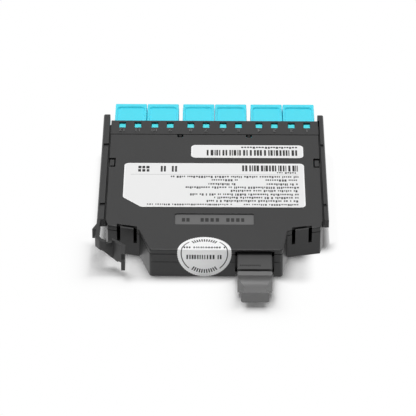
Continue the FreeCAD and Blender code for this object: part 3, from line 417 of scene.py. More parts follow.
FINISHES = {finish.name: finish for finish in (
    MouldedPlastic("casing_plastic", (0.022, 0.022, 0.0225), roughness=0.38, shine=0.45),
    MouldedPlastic("latch_plastic", (0.021, 0.021, 0.0215), roughness=0.36, shine=0.45),
    # The adapters' aqua is lighter than the caps' to make up for the shade on their tabs in the
    # cover's windows: painted light.
    MouldedPlastic("aqua_plastic", (0.095, 0.88, 0.98), roughness=0.35, depth=0.004 * MM,
                   mottle=0.03, shine=0.4),
    MouldedPlastic("aqua_cap_plastic", (0.07, 0.76, 0.93), roughness=0.33, depth=0.005 * MM,
                   mottle=0.03, shine=0.4),
    MouldedPlastic("adapter_plastic", grey(74), roughness=0.45),
    MouldedPlastic("cap_plastic", grey(112), roughness=0.4),
    MouldedPlastic("plug_plastic", (0.62, 0.56, 0.42), roughness=0.35),
    MouldedPlastic("mpo_plug_plastic", (0.05, 0.5, 0.62), roughness=0.35),
    MouldedPlastic("ferrule_plastic", grey(60), grain=0.1 * MM),
    MouldedPlastic("fanout_plastic", grey(70)),
    MouldedPlastic("boot_rubber", (0.72, 0.72, 0.70), roughness=0.65, shine=0.2),
    MouldedPlastic("fibre_jacket", (0.08, 0.62, 0.74), roughness=0.45, grain=0.2 * MM,
                   depth=0.004 * MM),
    GroundStock("ceramic", (0.86, 0.85, 0.81), 0.08 * MM, (1.0, 12.0, 1.0), (0.97, 1.02),
                roughness=0.12, rough_span=0.1, coat=0.3),
    GroundStock("pin_steel", (0.62, 0.62, 0.64), 0.05 * MM, (1.0, 10.0, 1.0), (0.92, 1.05),
                roughness=0.18, rough_span=0.15, metallic=1.0),
    PrintStock("label_paper", grey(252)),
    PrintStock("seal_film", grey(251), roughness=0.35, shine=0.5),
)}
FIELD = PrintStock("label_field", grey(238))
# Pale grey over each raised figure: a painted highlight standing in for the light on its edges.
NUMBER_PAINTED_HIGHLIGHT = MouldedPlastic("number_painted_highlight", grey(98), roughness=0.3, depth=0.003 * MM, shine=0.5)
# Pale grey of the recessed panel: a painted reflection of the bright room in its smoother finish.
PANEL_PAINTED_REFLECTION = MouldedPlastic("panel_painted_reflection", grey(104), roughness=0.5, depth=0.004 * MM)
PANEL_MARK = MouldedPlastic("panel_mark", grey(40), roughness=0.45, depth=0.004 * MM)
BAR_INK = Ink("bar_ink", (0.006, 0.004, 0.004), (0.1, 0.09, 0.09))
TEXT_INK = Ink("text_ink", grey(44), grey(150))
RULE_INK = Ink("rule_ink", grey(170), grey(215))
SEAL_INK = Ink("seal_ink", grey(40), grey(120))
MARK_INK = Ink("mark_ink", grey(22), grey(60))


# -------- workbench


class Pick(Enum):
    """What an edit selects, as Blender's three select modes."""

    POINTS = (True, False, False)
    FACES = (False, False, True)


def take(thing: bpy.types.Object) -> None:
    """Select one object alone and make it active.

    Args:
        thing: the object.
    """
    bpy.ops.object.select_all(action="DESELECT")
    thing.select_set(True)
    bpy.context.view_layer.objects.active = thing


class Workpiece:
    """A mesh on the bench, shaped with Blender's own operators."""

    WELD = 2e-6                     # points nearer than this are one, in metres
    FLAT = math.radians(0.4)        # faces within this angle are one flat face
    SHARP = math.radians(28)        # edges past this angle are rounded
    CREASE = math.radians(32)       # edges past this angle are shaded sharp

    def __init__(self, name: str, thing: bpy.types.Object) -> None:
        """Take an object in hand and bake its place into its mesh.

        Args:
            name: the piece's name.
            thing: the object.
        """
        thing.name = name
        thing.data.name = name
        self.thing = thing
        take(thing)
        bpy.ops.object.transform_apply(location=True, rotation=True, scale=True)

    @classmethod
    def sheet(cls, name: str, low: Sequence[float], high: Sequence[float],
              height: float) -> "Workpiece":
        """Return a level rectangular sheet.

        Args:
            name: the piece's name.
            low: its lowest x and y.
            high: its highest x and y.
            height: its z.

        Returns:
            The piece.
        """
        bpy.ops.object.select_all(action="DESELECT")
        bpy.ops.mesh.primitive_plane_add(
            size=1, location=((low[0] + high[0]) / 2, (low[1] + high[1]) / 2, height))
        thing = bpy.context.active_object
        thing.scale = (high[0] - low[0], high[1] - low[1], 1)
        return cls(name, thing)

    @classmethod
    def disc(cls, name: str, middle: Sequence[float], radius: float, sides: int) -> "Workpiece":
        """Return a level disc.

        Args:
            name: the piece's name.
            middle: its middle.
            radius: its radius.
            sides: number of its sides.

        Returns:
            The piece.
        """
        bpy.ops.object.select_all(action="DESELECT")
        bpy.ops.mesh.primitive_circle_add(vertices=sides, radius=radius, fill_type="NGON",
                                          location=tuple(middle))
        return cls(name, bpy.context.active_object)

    @classmethod
    def casting(cls, name: str, node: str) -> "Workpiece":
        """Return a clean copy of a CAD node, its triangles joined into flat faces.

        Args:
            name: the piece's name.
            node: the CAD node.

        Returns:
            The piece.
        """
        source = frame["nodes"][node]
        thing = bpy.data.objects.new(name, source.data.copy())
        bpy.context.scene.collection.objects.link(thing)
        piece = cls(name, thing)
        piece.thing.data.materials.clear()
        piece.edit(Pick.POINTS, anywhere,
                   lambda: bpy.ops.mesh.remove_doubles(threshold=cls.WELD))
        piece.edit(Pick.FACES, anywhere,
                   lambda: bpy.ops.mesh.dissolve_limited(angle_limit=cls.FLAT))
        return piece

    def edit(self, pick: Pick, wanted: Callable[[Vector, Vector], bool],
             action: Callable[[], object]) -> "Workpiece":
        """Select what a test accepts, then run one operator on it in edit mode.

        Args:
            pick: points or faces.
            wanted: test of a place and a normal.
            action: the operator's call.

        Returns:
            This piece.
        """
        mesh = self.thing.data
        take(self.thing)
        bpy.context.tool_settings.mesh_select_mode = pick.value
        for group in (mesh.vertices, mesh.edges, mesh.polygons):
            group.foreach_set("select", [False] * len(group))
        if pick is Pick.POINTS:
            for point in mesh.vertices:
                point.select = wanted(point.co, point.normal)
        else:
            for face in mesh.polygons:
                face.select = wanted(face.center, face.normal)
        bpy.ops.object.mode_set(mode="EDIT")
        action()
        bpy.ops.object.mode_set(mode="OBJECT")
        return self

    def cut(self, places: Iterable[float], axis: int) -> "Workpiece":
        """Cut the mesh through at each place along an axis.

        Args:
            places: coordinates of the cuts.
            axis: 0 for x, 1 for y, 2 for z.

        Returns:
            This piece.
        """
        normal = Vector([float(axis == other) for other in range(3)])
        take(self.thing)
        bpy.ops.object.mode_set(mode="EDIT")
        for place in places:
            bpy.ops.mesh.select_all(action="SELECT")
            bpy.ops.mesh.bisect(plane_co=normal * place, plane_no=normal)
        bpy.ops.object.mode_set(mode="OBJECT")
        return self

    def drop_faces(self, wanted: Callable[[Vector, Vector], bool]) -> "Workpiece":
        """Delete the faces that a test accepts."""
        return self.edit(Pick.FACES, wanted, lambda: bpy.ops.mesh.delete(type="FACE"))

    def thicken(self, thickness: float, lift: float = 0.0) -> "Workpiece":
        """Give a sheet its thickness along its normals.

        Args:
            thickness: the thickness.
            lift: distance that the sheet is raised first.

        Returns:
            This piece.
        """
        if lift:
            self.edit(Pick.FACES, anywhere,
                      lambda: bpy.ops.transform.shrink_fatten(value=lift))
        return self.modify("SOLIDIFY", thickness=thickness, offset=1.0, use_even_offset=True)

    def modify(self, kind: str, **settings: object) -> "Workpiece":
        """Add a modifier and apply it.

        Args:
            kind: the modifier's type.
            settings: its properties.

        Returns:
            This piece.
        """
        modifier = self.thing.modifiers.new(kind, kind)
        for key, setting in settings.items():
            setattr(modifier, key, setting)
        take(self.thing)
        bpy.ops.object.modifier_apply(modifier=modifier.name)
        return self

    def round_edges(self, width: float) -> "Workpiece":
        """Break every sharp edge with a small round.

        Args:
            width: width of the round.

        Returns:
            This piece.
        """
        return self.modify("BEVEL", width=width, segments=2, limit_method="ANGLE",
                           angle_limit=self.SHARP, use_clamp_overlap=True,
                           miter_outer="MITER_ARC")

    def smooth(self) -> "Workpiece":
        """Shade smooth, with flat faces kept flat and creases sharp.

        Returns:
            This piece.
        """
        take(self.thing)
        bpy.ops.object.shade_smooth_by_angle(angle=self.CREASE)
        return self.modify("WEIGHTED_NORMAL", mode="FACE_AREA", weight=50, keep_sharp=True)

    @staticmethod
    def joined(name: str, pieces: Sequence["Workpiece"]) -> "Workpiece":
        """Join pieces into the first of them and name it.

        Args:
            name: the new name.
            pieces: the pieces.

        Returns:
            The joined piece.
        """
        take(pieces[0].thing)
        for other in pieces[1:]:
            other.thing.select_set(True)
        bpy.ops.object.join()
        pieces[0].thing.name = name
        return pieces[0]

    def fit(self, body: str, slot: str, material: bpy.types.Material,
            nodes: Sequence[str] = ()) -> "Workpiece":
        """Finish the piece: its material, body and the nodes it stands for.

        Args:
            body: the body it rides on.
            slot: the record's material slot; not used.
            material: its material.
            nodes: the CAD nodes that it replaces.

        Returns:
            This piece.
        """
        self.thing.data.materials.clear()
        self.thing.data.materials.append(material)
        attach(self.thing, body)
        if nodes:
            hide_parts(*nodes)
        LOG.info("%s: %d faces on %s", self.thing.name, len(self.thing.data.polygons), body)
        return self


def anywhere(_place: Vector, _normal: Vector) -> bool:
    """Accept everything."""
    return True


def dress(nodes: Sequence[str], edge: float, slot: str, moves: bool = False) -> None:
    """Cover CAD nodes with copies that have small rounds along their edges.

    Args:
        nodes: the CAD nodes.
        edge: width of the rounds.
        slot: their material slot.
        moves: whether each is a body of its own, named like the node.
    """
    material = FINISHES[slot].material()
    for node in nodes:
        moulding = Workpiece.casting(f"{node}_moulding", node).round_edges(edge).smooth()
        moulding.fit(node if moves else "casing", slot, material, [node])


# -------- print


@dataclass(frozen=True)
class PrintRow:
    """A row of print: blocks as wide as letters, or the bars of a barcode."""

    left: float
    right: float
    middle: float                   # y of the row's middle
    tall: float                     # height of the row along y
    seed: int
    narrow: float = 0.38 * MM       # narrowest block
    wide: float = 0.8 * MM          # widest block
    gap: float = 0.3 * MM
    word_gap: float = 0.9 * MM
    word: int = 7                   # mean number of blocks in a word
    short: float = 0.68             # share of the height that a low block has
    low_share: float = 0.62         # share of the blocks that are low
    jitter: tuple = (0.7, 1.3)      # factors between which the gaps vary

    def blocks(self) -> list[tuple[float, float, bool]]:
        """Work out the blocks.

        Returns:
            The left side, right side and whether it is low, for each block.
        """
        dice = random.Random(self.seed)
        found = []
        place = self.left
        while place < self.right - self.narrow:
            end = min(place + dice.uniform(self.narrow, self.wide), self.right)
            found.append((place, end, dice.random() < self.low_share))
            last = self.word and dice.random() < 1 / self.word
            place = end + (self.word_gap if last else self.gap * dice.uniform(*self.jitter))
        return found

    def build(self, name: str, height: float, thickness: float) -> Workpiece:
        """Cut a strip into the row's blocks and give them the ink's thickness.

        Args:
            name: the piece's name.
            height: z of the surface that carries the print.
            thickness: the ink's thickness.

        Returns:
            The row.
        """
        blocks = self.blocks()
        low = self.middle - self.tall / 2
        high = self.middle + self.tall / 2
        strip = Workpiece.sheet(name, (self.left, low), (self.right, high), height)
        edges = [edge for left, right, _ in blocks for edge in (left, right)]
        strip.cut([edge for edge in edges if self.left < edge < self.right], 0)
        shoulder = high - self.tall * self.short
        if self.short < 1:
            strip.cut([shoulder], 1)

        def spare(place: Vector, _normal: Vector) -> bool:
            """Tell whether a face lies between the blocks or above a low one.

            Args:
                place: the face's middle.

            Returns:
                Whether to delete it.
            """
            for left, right, is_low in blocks:
                if left < place.x < right:
                    return is_low and place.y < shoulder
            return True

        strip.drop_faces(spare)
        return strip.thicken(thickness)


def bars(left: float, right: float, middle: float, tall: float, seed: int,
         module: float) -> PrintRow:
    """Return a generic barcode as a row of full-height bars.

    Args:
        left: its left side.
        right: its right side.
        middle: y of its middle.
        tall: its height.
        seed: seed of the bars' widths.
        module: width of the thinnest bar.

    Returns:
        The row.
    """
    return PrintRow(left, right, middle, tall, seed, narrow=module, wide=module * 3.2,
                    gap=module * 1.1, word_gap=module * 2.4, word=6, short=1.0)


# -------- sub-assemblies


@dataclass
class Casing:
    """Base shell, top cover, the panel sunk in the cover and the port numbers."""

    body: str = "casing"
    slot: str = "casing_plastic"
    edge: float = 0.14 * MM
    number_size: float = 2.8 * MM
    number_rise: float = 0.15 * MM
    number_bevel: float = 0.05 * MM
    number_setback: float = 7.7 * MM     # from the bezel's front to the numbers' middle
    panel_sides: tuple = (-14.55 * MM, 15.85 * MM)
    panel_span: tuple = (18.57 * MM, 26.47 * MM)         # from the cover's rear edge
    panel_depth: float = 0.55 * MM
    panel_corner: float = 0.75 * MM
    panel_inset: float = 0.02 * MM
    marks: tuple = ((-11.9 * MM, -7.2 * MM), (-4.7 * MM, 3.2 * MM), (5.2 * MM, 12.8 * MM))
    mark_shift: float = 0.1 * MM         # from the panel's middle towards the rear
    mark_ink: float = 0.03 * MM

    def build(self) -> None:
        """Dress the shells and add the port numbers."""
        dress(("base_shell", "top_cover"), self.edge, self.slot)
        self.numbers()
        self.panel()

    def numbers(self) -> None:
        """Raise the numbers 1 to 12 on the bezel, read from the LC side."""
        plugs = [f"lc_plug_{number:02d}" for number in range(1, 13)]
        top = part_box("main_label")[0].z
        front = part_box("lc_quad_adapter_1")[1].y
        pieces = []
        for place, plug in enumerate(plugs):
            low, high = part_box(plug)
            bpy.ops.object.select_all(action="DESELECT")
            bpy.ops.object.text_add(location=((low.x + high.x) / 2, front - self.number_setback,
                                              top), rotation=(0, 0, math.pi))
            words = bpy.context.active_object
            words.data.body = str(len(plugs) - place)
            words.data.size = self.number_size
            words.data.align_x = words.data.align_y = "CENTER"
            words.data.extrude = self.number_rise
            words.data.bevel_depth = self.number_bevel
            words.data.resolution_u = 4
            bpy.ops.object.convert(target="MESH")
            pieces.append(Workpiece(f"port_number_{place}", bpy.context.active_object))
        row = Workpiece.joined("port_numbers", pieces)
        # The figures are painted in the highlight grey, not in the casing's plastic.
        row.smooth().fit(self.body, self.slot, NUMBER_PAINTED_HIGHLIGHT.material())

    def panel(self) -> None:
        """Lay the paler field, a painted reflection, in the cover's recess, with a row of sunk
        blocks.
        """
        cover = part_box("top_cover")
        low, high = ((side, cover[0].y + along)
                     for side, along in zip(self.panel_sides, self.panel_span))
        floor = cover[1].z - self.panel_depth
        sheet = Workpiece.sheet("panel_painted_reflection", low, high, floor)
        sheet.edit(Pick.POINTS, anywhere, lambda: bpy.ops.mesh.bevel(
            offset=self.panel_corner, segments=5, affect="VERTICES"))
        sheet.thicken(self.panel_inset).fit(self.body, self.slot, PANEL_PAINTED_REFLECTION.material())
        rows = []
        for number, (left, right) in enumerate(self.marks):
            row = PrintRow(left, right, (low[1] + high[1]) / 2 - self.mark_shift, tall=2.6 * MM,
                           seed=40 + number, narrow=1.2 * MM, wide=1.35 * MM, gap=0.65 * MM,
                           word=0, short=1.0)
            rows.append(row.build(f"panel_mark_{number}", floor + self.panel_inset,
                                  self.mark_ink))
        Workpiece.joined("panel_marks", rows).fit(self.body, self.slot, PANEL_MARK.material())


@dataclass
class Lever:
    """The sprung release lever."""

    edge: float = 0.14 * MM

    def build(self) -> None:
        """Dress the lever."""
        dress(["release_lever"], self.edge, "latch_plastic", moves=True)


@dataclass
class LcPorts:
    """Three quad adapters and their six duplex dust caps."""

    edge: float = 0.12 * MM
    cap_edge: float = 0.24 * MM

    def build(self) -> None:
        """Dress the adapters and caps."""
        dress([f"lc_quad_adapter_{number}" for number in range(1, 4)], self.edge, "aqua_plastic")
        dress([f"lc_cap_{number}" for number in range(1, 7)], self.cap_edge, "aqua_cap_plastic",
              moves=True)


@dataclass
class MpoPort:
    """The rear adapter, its print and its dust cap."""

    edge: float = 0.12 * MM
    ear: float = 0.9 * MM                # width of the adapter's ear
    print_setback: float = 2.4 * MM      # from the adapter's outer face
    print_left: float = 0.8 * MM         # from the ear
    print_length: float = 8.4 * MM
    print_tall: float = 1.25 * MM
    print_ink: float = 0.01 * MM

    def build(self) -> None:
        """Dress the adapter and the cap."""
        slot = "adapter_plastic"
        dress(["mpo_adapter"], self.edge, slot)
        low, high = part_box("mpo_adapter")
        left = low.x + self.ear + self.print_left
        row = PrintRow(left, left + self.print_length, low.y + self.print_setback,
                       self.print_tall, seed=77, narrow=0.4 * MM, wide=0.7 * MM,
                       gap=0.2 * MM, word=0, short=0.8)
        marks = row.build("mpo_adapter_print", high.z, self.print_ink)
        marks.fit("casing", slot, MARK_INK.material())
        dress(["mpo_dust_cap"], self.edge, "cap_plastic", moves=True)


@dataclass
class Labels:
    """The large label and the small barcode label, with generic print."""

    rim: float = 0.45 * MM
    ink: float = 0.008 * MM
    same_place: float = 1e-7        # places nearer than this are one, in metres
    line_down: float = 8.7 * MM     # from the far edge to the thin line
    line_tall: float = 0.2 * MM
    line_inset: tuple = (2.6 * MM, 2.4 * MM)
    line_cuts: tuple = (0.25, 0.5, 0.75)
    text_right: float = 2.35 * MM   # from the large label's right side to its text
    text_tall: float = 1.6 * MM
    small_tall: float = 1.2 * MM    # height of the first and the last line
    marks: tuple = (                # sides, distance down, height, seed, narrowest, widest; mm
        (5.5, 10.6, 3.2, 1.9, 300, 0.9, 1.5), (5.5, 10.6, 5.7, 1.9, 301, 0.9, 1.5),
        (14.4, 17.2, 4.4, 4.4, 320, 0.7, 0.9), (18.8, 21.6, 4.4, 4.4, 321, 0.7, 0.9))

    def build(self) -> None:
        """Dress both labels and print them."""
        stock = FINISHES["label_paper"].material()
        field_stock = FIELD.material()
        for node in ("main_label", "serial_label"):
            frame["nodes"][node].material_slots[0].material = stock
            self.field(node, field_stock)
        low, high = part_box("main_label")
        row = bars(left=high.x - 24.5 * MM, right=high.x - 2.5 * MM, middle=high.y - 3.8 * MM,
                   tall=4.5 * MM, seed=5, module=0.32 * MM)
        self.print_rows("main_label_bars", [row], BAR_INK)
        self.print_rows("main_label_text", self.main_text(high), TEXT_INK)
        self.print_rows("main_label_marks", self.main_marks(low, high), MARK_INK)
        self.rule(low, high)
        low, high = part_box("serial_label")
        row = bars(left=low.x + 6.2 * MM, right=high.x - 1.8 * MM, middle=low.y + 3.85 * MM,
                   tall=4.4 * MM, seed=9, module=0.36 * MM)
        self.print_rows("serial_label_bars", [row], BAR_INK)
        row = PrintRow(low.x + 20.0 * MM, high.x - 1.8 * MM, high.y - 1.95 * MM,
                       tall=1.5 * MM, seed=61, narrow=0.7 * MM, wide=1.0 * MM, word=0)
        self.print_rows("serial_label_text", [row], TEXT_INK)

    def field(self, node: str, stock: bpy.types.Material) -> None:
        """Print the pale field, a rim's width inside the label's edge.

        Args:
            node: the label's node.
            stock: the field's material.
        """
        piece = Workpiece.casting(f"{node}_field", node)
        piece.drop_faces(lambda _place, normal: normal.z < 0.5)
        piece.edit(Pick.FACES, anywhere, lambda: bpy.ops.mesh.inset(thickness=self.rim, depth=0))
        inside = max(piece.thing.data.polygons, key=lambda face: face.area).center.copy()
        piece.drop_faces(lambda place, _normal: (place - inside).length > self.same_place)
        piece.thicken(self.ink)
        piece.fit("casing", "label_paper", stock)

    def print_rows(self, name: str, rows: Sequence[PrintRow], ink: Ink) -> None:
        """Print rows on the field and join them.

        Args:
            name: the piece's name.
            rows: the rows.
            ink: the ink.
        """
        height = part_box("main_label")[1].z + self.ink
        pieces = [row.build(f"{name}_{number}", height, self.ink)
                  for number, row in enumerate(rows)]
        Workpiece.joined(name, pieces).fit("casing", "label_paper", ink.material())

    def main_text(self, high: Vector) -> list[PrintRow]:
        """Lay out the large label's lines of text as rows of blocks.

        Args:
            high: the label's highest corner.

        Returns:
            The rows.
        """
        right = high.x - self.text_right
        lines = [                    # distance from the far edge, then spans from the right
            (7.25, ((0.0, 8.4),)),
            (10.5, ((0.0, 50.3),)),
            (13.0, ((0.0, 13.0), (23.7, 34.2))),
            (16.05, ((0.0, 12.6), (23.6, 35.5))),
            (18.6, ((0.0, 44.4),)),
            (21.1, ((0.0, 26.7),)),
            (23.85, ((0.0, 42.6),)),
            (26.3, ((0.0, 33.2),)),
            (28.75, ((0.0, 36.1),)),
            (31.4, ((0.0, 21.7), (26.3, 59.3))),
        ]
        rows = []
        for number, (down, spans) in enumerate(lines):
            tall = self.small_tall if number in (0, len(lines) - 1) else self.text_tall
            for start, end in spans:
                rows.append(PrintRow(right - end * MM, right - start * MM, high.y - down * MM,
                                     tall, seed=100 + 7 * number))
        return rows

    def main_marks(self, low: Vector, high: Vector) -> list[PrintRow]:
        """Lay out plain block marks near the far left corner.

        Args:
            low: the label's lowest corner.
            high: its highest corner.

        Returns:
            The rows.
        """
        return [PrintRow(low.x + left * MM, low.x + right * MM, high.y - down * MM, tall * MM,
                         seed, narrow * MM, wide * MM, gap=0.5 * MM, word=0, short=1.0)
                for left, right, down, tall, seed, narrow, wide in self.marks]

    def rule(self, low: Vector, high: Vector) -> None:
        """Print the thin grey line across the large label.

        Args:
            low: the label's lowest corner.
            high: its highest corner.
        """
        left, right = low.x + self.line_inset[0], high.x - self.line_inset[1]
        middle = high.y - self.line_down
        line = Workpiece.sheet("main_label_rule", (left, middle - self.line_tall / 2),
                               (right, middle + self.line_tall / 2), high.z + self.ink)
        line.cut([low.x + (high.x - low.x) * share for share in self.line_cuts], 0)
        line.thicken(self.ink).fit("casing", "label_paper", RULE_INK.material())


@dataclass
class Seal:
    """Round seal with a scalloped edge, folded over the rear top edge."""

    radius: float = 10.4 * MM
    drop: float = 1.37 * MM              # the disc's middle lies this far past the fold
    scallops: int = 66                   # teeth round the rim
    scallop_depth: float = 0.22 * MM
    thickness: float = 0.12 * MM
    fold_radius: float = 0.4 * MM
    fold_steps: int = 6
    ink: float = 0.008 * MM
    ring: float = 0.38 * MM              # width of the ring
    ring_share: float = 0.865            # its outer radius, as a share of the seal's
    ring_sides: int = 96
    ring_gap: float = 41.0               # degrees either side of the top and the bottom
    rows: tuple = ((2.9, 7.9, 1.2), (-1.6, 6.8, 1.9))    # place, half length, height in mm
    tooth_round: float = 0.3             # share of a tooth that is rounded
    arc_radius: float = 7.9 * MM         # radius that the arcs of dashes lie on
    arc_dash: tuple = (0.5 * MM, 1.7 * MM)
    arc_step: float = 6.6                # degrees from dash to dash
    arc_count: int = 11

    def build(self) -> None:
        """Cut, fold and print the seal."""
        low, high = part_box("seal_sticker")
        self.middle = Vector(((low.x + high.x) / 2, low.y + self.thickness - self.drop,
                              high.z - self.thickness))
        self.edge_y = low.y + self.thickness
        disc = Workpiece.disc("seal_disc", self.middle, self.radius, 2 * self.scallops)
        self.scallop(disc)
        self.fold(disc)
        disc.thicken(self.thickness).smooth()
        disc.fit("casing", "seal_film", FINISHES["seal_film"].material(), ["seal_sticker"])
        prints = self.ring_arcs() + self.dashes()
        for piece in prints:
            self.fold(piece)
            piece.thicken(self.ink, self.thickness)
        marks = Workpiece.joined("seal_print", prints)
        marks.fit("casing", "seal_film", SEAL_INK.material())

    def scallop(self, disc: Workpiece) -> None:
        """Pull in every other point of the rim and round the teeth.

        Args:
            disc: the flat disc.
        """
        step = math.pi / self.scallops
        middle = self.middle

        def hollow(place: Vector, _normal: Vector) -> bool:
            """Tell whether a point of the rim lies between two teeth."""
            angle = math.atan2(place.y - middle.y, place.x - middle.x)
            return round(angle / step) % 2 == 1

        share = 1 - self.scallop_depth / self.radius
        disc.edit(Pick.POINTS, hollow, lambda: bpy.ops.transform.resize(
            value=(share, share, 1), center_override=tuple(middle)))
        disc.edit(Pick.POINTS, anywhere, lambda: bpy.ops.mesh.bevel(
            offset=self.radius * step * self.tooth_round, segments=2, affect="VERTICES"))

    def fold(self, piece: Workpiece) -> None:
        """Fold a flat piece down over the casing's rear edge.

        Args:
            piece: the flat piece.
        """
        arc = self.fold_radius * math.pi / 2
        start = self.edge_y + self.fold_radius
        lines = [start - arc * number / self.fold_steps for number in range(self.fold_steps + 1)]
        reach = [point.co.y for point in piece.thing.data.vertices]
        if min(reach) > start:
            return
        piece.cut([line for line in lines if min(reach) < line < max(reach)], 1)
        turn = math.pi / 2 / self.fold_steps
        for number in reversed(range(self.fold_steps)):
            line = (lines[number] + lines[number + 1]) / 2
            axis = (0.0, line, self.middle.z)
            piece.edit(Pick.POINTS, lambda place, _normal: place.y < line,
                       lambda: bpy.ops.transform.rotate(value=-turn, orient_axis="X",
                                                        center_override=axis))

    def ring_arcs(self) -> list[Workpiece]:
        """Make the thin ring, left open at the top and the bottom.

        Returns:
            Its two arcs.
        """
        outer = self.radius * self.ring_share
        limit = outer * math.cos(math.radians(self.ring_gap))
        middle = self.middle
        pieces = []
        for number, side in enumerate((-1, 1)):
            disc = Workpiece.disc(f"seal_arc_{number}", middle, outer, self.ring_sides)
            disc.edit(Pick.FACES, anywhere,
                      lambda: bpy.ops.mesh.inset(thickness=self.ring, depth=0))

            def spare(place: Vector, _normal: Vector) -> bool:
                """Tell whether a face lies inside the ring, on the other side or in a gap."""
                off = place - middle
                return off.length < outer / 2 or off.x * side < 0 or abs(off.y) > limit

            pieces.append(disc.drop_faces(spare))
        return pieces

    def dashes(self) -> list[Workpiece]:
        """Make two rows and two arcs of plain dashes.

        Returns:
            The flat pieces.
        """
        x, y, z = self.middle
        pieces = []
        for number, (shift, half, tall) in enumerate(self.rows):
            row = PrintRow(x - half * MM, x + half * MM, y + shift * MM, tall * MM,
                           seed=500 + number, narrow=0.4 * MM, wide=0.7 * MM, gap=0.42 * MM,
                           word_gap=1.2 * MM, word=9, short=1.0)
            pieces.append(row.build(f"seal_row_{number}", z, 0.0))
        wide, tall = self.arc_dash
        for side in (0.0, 180.0):
            for number in range(self.arc_count):
                turn = side + self.arc_step * (number - (self.arc_count - 1) / 2)
                dash = Workpiece.sheet(f"seal_dash_{side:.0f}_{number}",
                                       (x - wide / 2, y + self.arc_radius - tall / 2),
                                       (x + wide / 2, y + self.arc_radius + tall / 2), z)
                dash.edit(Pick.POINTS, anywhere, lambda: bpy.ops.transform.rotate(
                    value=math.radians(turn), orient_axis="Z",
                    center_override=tuple(self.middle)))
                pieces.append(dash)
        return pieces


class FibreTrain:
    """Everything between the two ends: plugs, ferrules, boots, fibres and fan-out."""

    def build(self) -> None:
        """Dress each inner node with its slot's finish."""
        dressed = {}
        for part in frame["record"]["subparts"]:
            node = frame["nodes"][part["node"]]
            slot = part["material_slot"]
            if node.hide_render or slot == "label_paper":
                continue
            if slot not in dressed:
                dressed[slot] = FINISHES[slot].material()
            node.material_slots[0].material = dressed[slot]


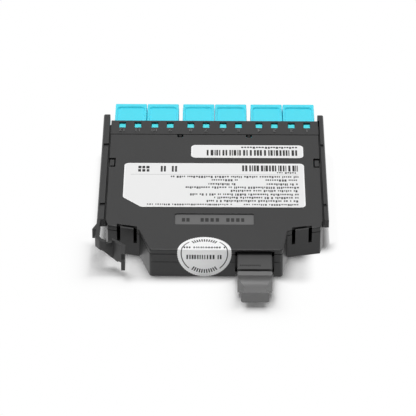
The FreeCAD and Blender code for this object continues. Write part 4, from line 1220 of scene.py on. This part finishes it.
@dataclass
class Studio:
    """Floor, lamps and camera."""

    target: tuple = (-1.911 * MM, 0.657 * MM, 0.0)
    distance: float = 1.18805
    elevation: float = 31.555
    azimuth: float = 0.149
    roll: float = 0.188
    lens: float = 260.16
    floor_size: float = 6.0
    floor_drop: float = 0.05 * MM        # keeps the floor clear of the underside
    tongue: tuple = (-31 * MM, 33 * MM)  # sides of the rear tongue
    wing_rear: float = -27 * MM          # rear faces of the casing's wings
    shade_fade: tuple = (0.0, 7 * MM)    # shadow kept near, gone past
    raised_edge: float = 0.5 * MM        # the same near the rear cap and the lever
    raised_fade: float = 2.7 * MM
    raised_draw: float = 1.6             # share of the height that a box is drawn in by
    side_fade: tuple = (-30 * MM, -23 * MM)    # y over which the floor turns plain
    side_white: float = 0.94
    side_gap: float = 0.8 * MM           # width of the shade along the casing's sides
    sky_edge: float = 1.1                # level of the room at its foot
    sky_ahead: float = 0.52              # above that, towards +Y
    sky_behind: float = 0.08
    sky_climb: tuple = (0.03, 0.42)
    lamp_way: tuple = (-0.08, 0.25, 1.0)
    lamp_distance: float = 1.3
    lamp_size: float = 0.8
    lamp_power: float = 12.0

    def build(self) -> None:
        """Set up the floor, the light and the camera."""
        self.floor()
        self.world()
        self.lamps()
        self.camera()
        bpy.context.scene.view_settings.view_transform = "Standard"

    def floor(self) -> None:
        """Lay a white floor, clear from below, that keeps the shadow behind the rear edge."""
        half = self.floor_size / 2
        floor = Workpiece.sheet("floor", (-half, -half), (half, half), -self.floor_drop)
        graph = Graph("floor_white")
        across, along, _ = graph.axes(graph.place())
        body = self.distance_from(self.outline(), across, along).rise(*self.shade_fade)
        beyond = self.distance_from(self.raised(), across, along) - self.raised_edge
        far = body.lowest(1.0 - (beyond.highest(0.0) / -self.raised_fade).exp())
        apart = self.distance_from(self.plan(), across, along).rise(0.0, self.side_gap)
        beside = self.side_white * along.rise(*self.side_fade) * apart
        camera, gloss = graph.rays()
        share = (camera * far.highest(beside)).highest(gloss)
        lit = graph.node("ShaderNodeBsdfDiffuse", grey(254), 1.0)
        plain = graph.node("ShaderNodeEmission", (1.0, 1.0, 1.0), 1.0)
        white = graph.node("ShaderNodeMixShader", share, lit.outputs[0], plain.outputs[0])
        under = graph.node("ShaderNodeNewGeometry").outputs["Backfacing"]
        clear = graph.node("ShaderNodeBsdfTransparent")
        material = graph.close(graph.node("ShaderNodeMixShader", under,
                                          white.outputs[0], clear.outputs[0]))
        floor.thing.data.materials.append(material)

    def outline(self) -> list[tuple[Vector, Vector]]:
        """Cover the casing's plan with boxes.

        Returns:
            The boxes of its wings and its tongue.
        """
        low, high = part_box("top_cover")
        tongue = (Vector((self.tongue[0], low.y, 0)), Vector((self.tongue[1], high.y, 0)))
        wings = (Vector((low.x, self.wing_rear, 0)), high)
        return [wings, tongue]

    def raised(self) -> list[tuple[Vector, Vector]]:
        """Box the rear cap and the lever, drawn in by how high they float.

        Returns:
            The two boxes.
        """
        boxes = []
        for node in ("mpo_dust_cap", "release_lever"):
            low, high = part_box(node)
            boxes.append((Vector((low.x, low.y + self.raised_draw * low.z, low.z)), high))
        return boxes

    @staticmethod
    def plan() -> list[tuple[Vector, Vector]]:
        """Box the casing, its rails and the lever together.

        Returns:
            The one box, in a list.
        """
        corners = [corner for node in ("base_shell", "release_lever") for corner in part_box(node)]
        low, high = (Vector([pick(axis) for axis in zip(*corners)]) for pick in (min, max))
        return [(low, high)]

    @staticmethod
    def distance_from(boxes: Sequence[tuple[Vector, Vector]], across: Signal,
                      along: Signal) -> Signal:
        """Work out how far a place on the floor lies from the nearest of some boxes.

        Args:
            boxes: lowest and highest corners.
            across: x of the place.
            along: y of the place.

        Returns:
            The distance, in metres.
        """
        nearest = None
        for low, high in boxes:
            sides = []
            for place, start, end in ((across, low.x, high.x), (along, low.y, high.y)):
                sides.append((start - place).highest(place - end).highest(0.0))
            gap = (sides[0] * sides[0] + sides[1] * sides[1]).root()
            nearest = gap if nearest is None else nearest.lowest(gap)
        return nearest

    def world(self) -> None:
        """Light the part with a pale room, brighter ahead, that is seen as white."""
        graph = Graph("room", room=True)
        direction = graph.node("ShaderNodeTexCoord").outputs["Generated"]
        _, ahead, up = graph.axes(direction)
        high = self.sky_behind + (self.sky_ahead - self.sky_behind) * (0.5 + 0.5 * ahead)
        level = high + (self.sky_edge - high) * (1.0 - up.rise(*self.sky_climb))
        light = graph.node("ShaderNodeBackground", (1.0, 1.0, 1.0), level)
        plain = graph.node("ShaderNodeBackground", (1.0, 1.0, 1.0), 1.0)
        camera = graph.node("ShaderNodeLightPath").outputs["Is Camera Ray"]
        bpy.context.scene.world = graph.close(
            graph.node("ShaderNodeMixShader", camera, light.outputs[0], plain.outputs[0]))

    def lamps(self) -> None:
        """Hang one soft lamp high above the part, ahead of it and to the left."""
        bpy.ops.object.select_all(action="DESELECT")
        place = Vector(self.lamp_way).normalized() * self.lamp_distance
        bpy.ops.object.light_add(type="AREA", location=place)
        lamp = bpy.context.active_object
        lamp.data.shape = "DISK"
        lamp.data.size = self.lamp_size
        lamp.data.energy = self.lamp_power
        lamp.rotation_euler = (-place).to_track_quat("-Z", "Y").to_euler()

    def camera(self) -> None:
        """Place the camera on its sphere about the target."""
        up, around, roll = (math.radians(angle)
                            for angle in (self.elevation, self.azimuth, self.roll))
        data = bpy.data.cameras.new("view")
        data.lens = self.lens
        camera = bpy.data.objects.new("view", data)
        bpy.context.scene.collection.objects.link(camera)
        camera.matrix_world = (
            Matrix.Translation(self.target) @ Matrix.Rotation(around, 4, "Z")
            @ Matrix.Rotation(math.pi / 2 - up, 4, "X") @ Matrix.Rotation(roll, 4, "Z")
            @ Matrix.Translation((0, 0, self.distance)))
        bpy.context.scene.camera = camera


def main() -> None:
    """Build the sub-assemblies in order."""
    logging.basicConfig(level=logging.INFO, format="%(message)s")
    for part in (Casing(), Lever(), LcPorts(), MpoPort(), Labels(), Seal(), FibreTrain(),
                 Studio()):
        LOG.info("building %s", type(part).__name__)
        part.build()


if __name__ == "__main__":
    main()
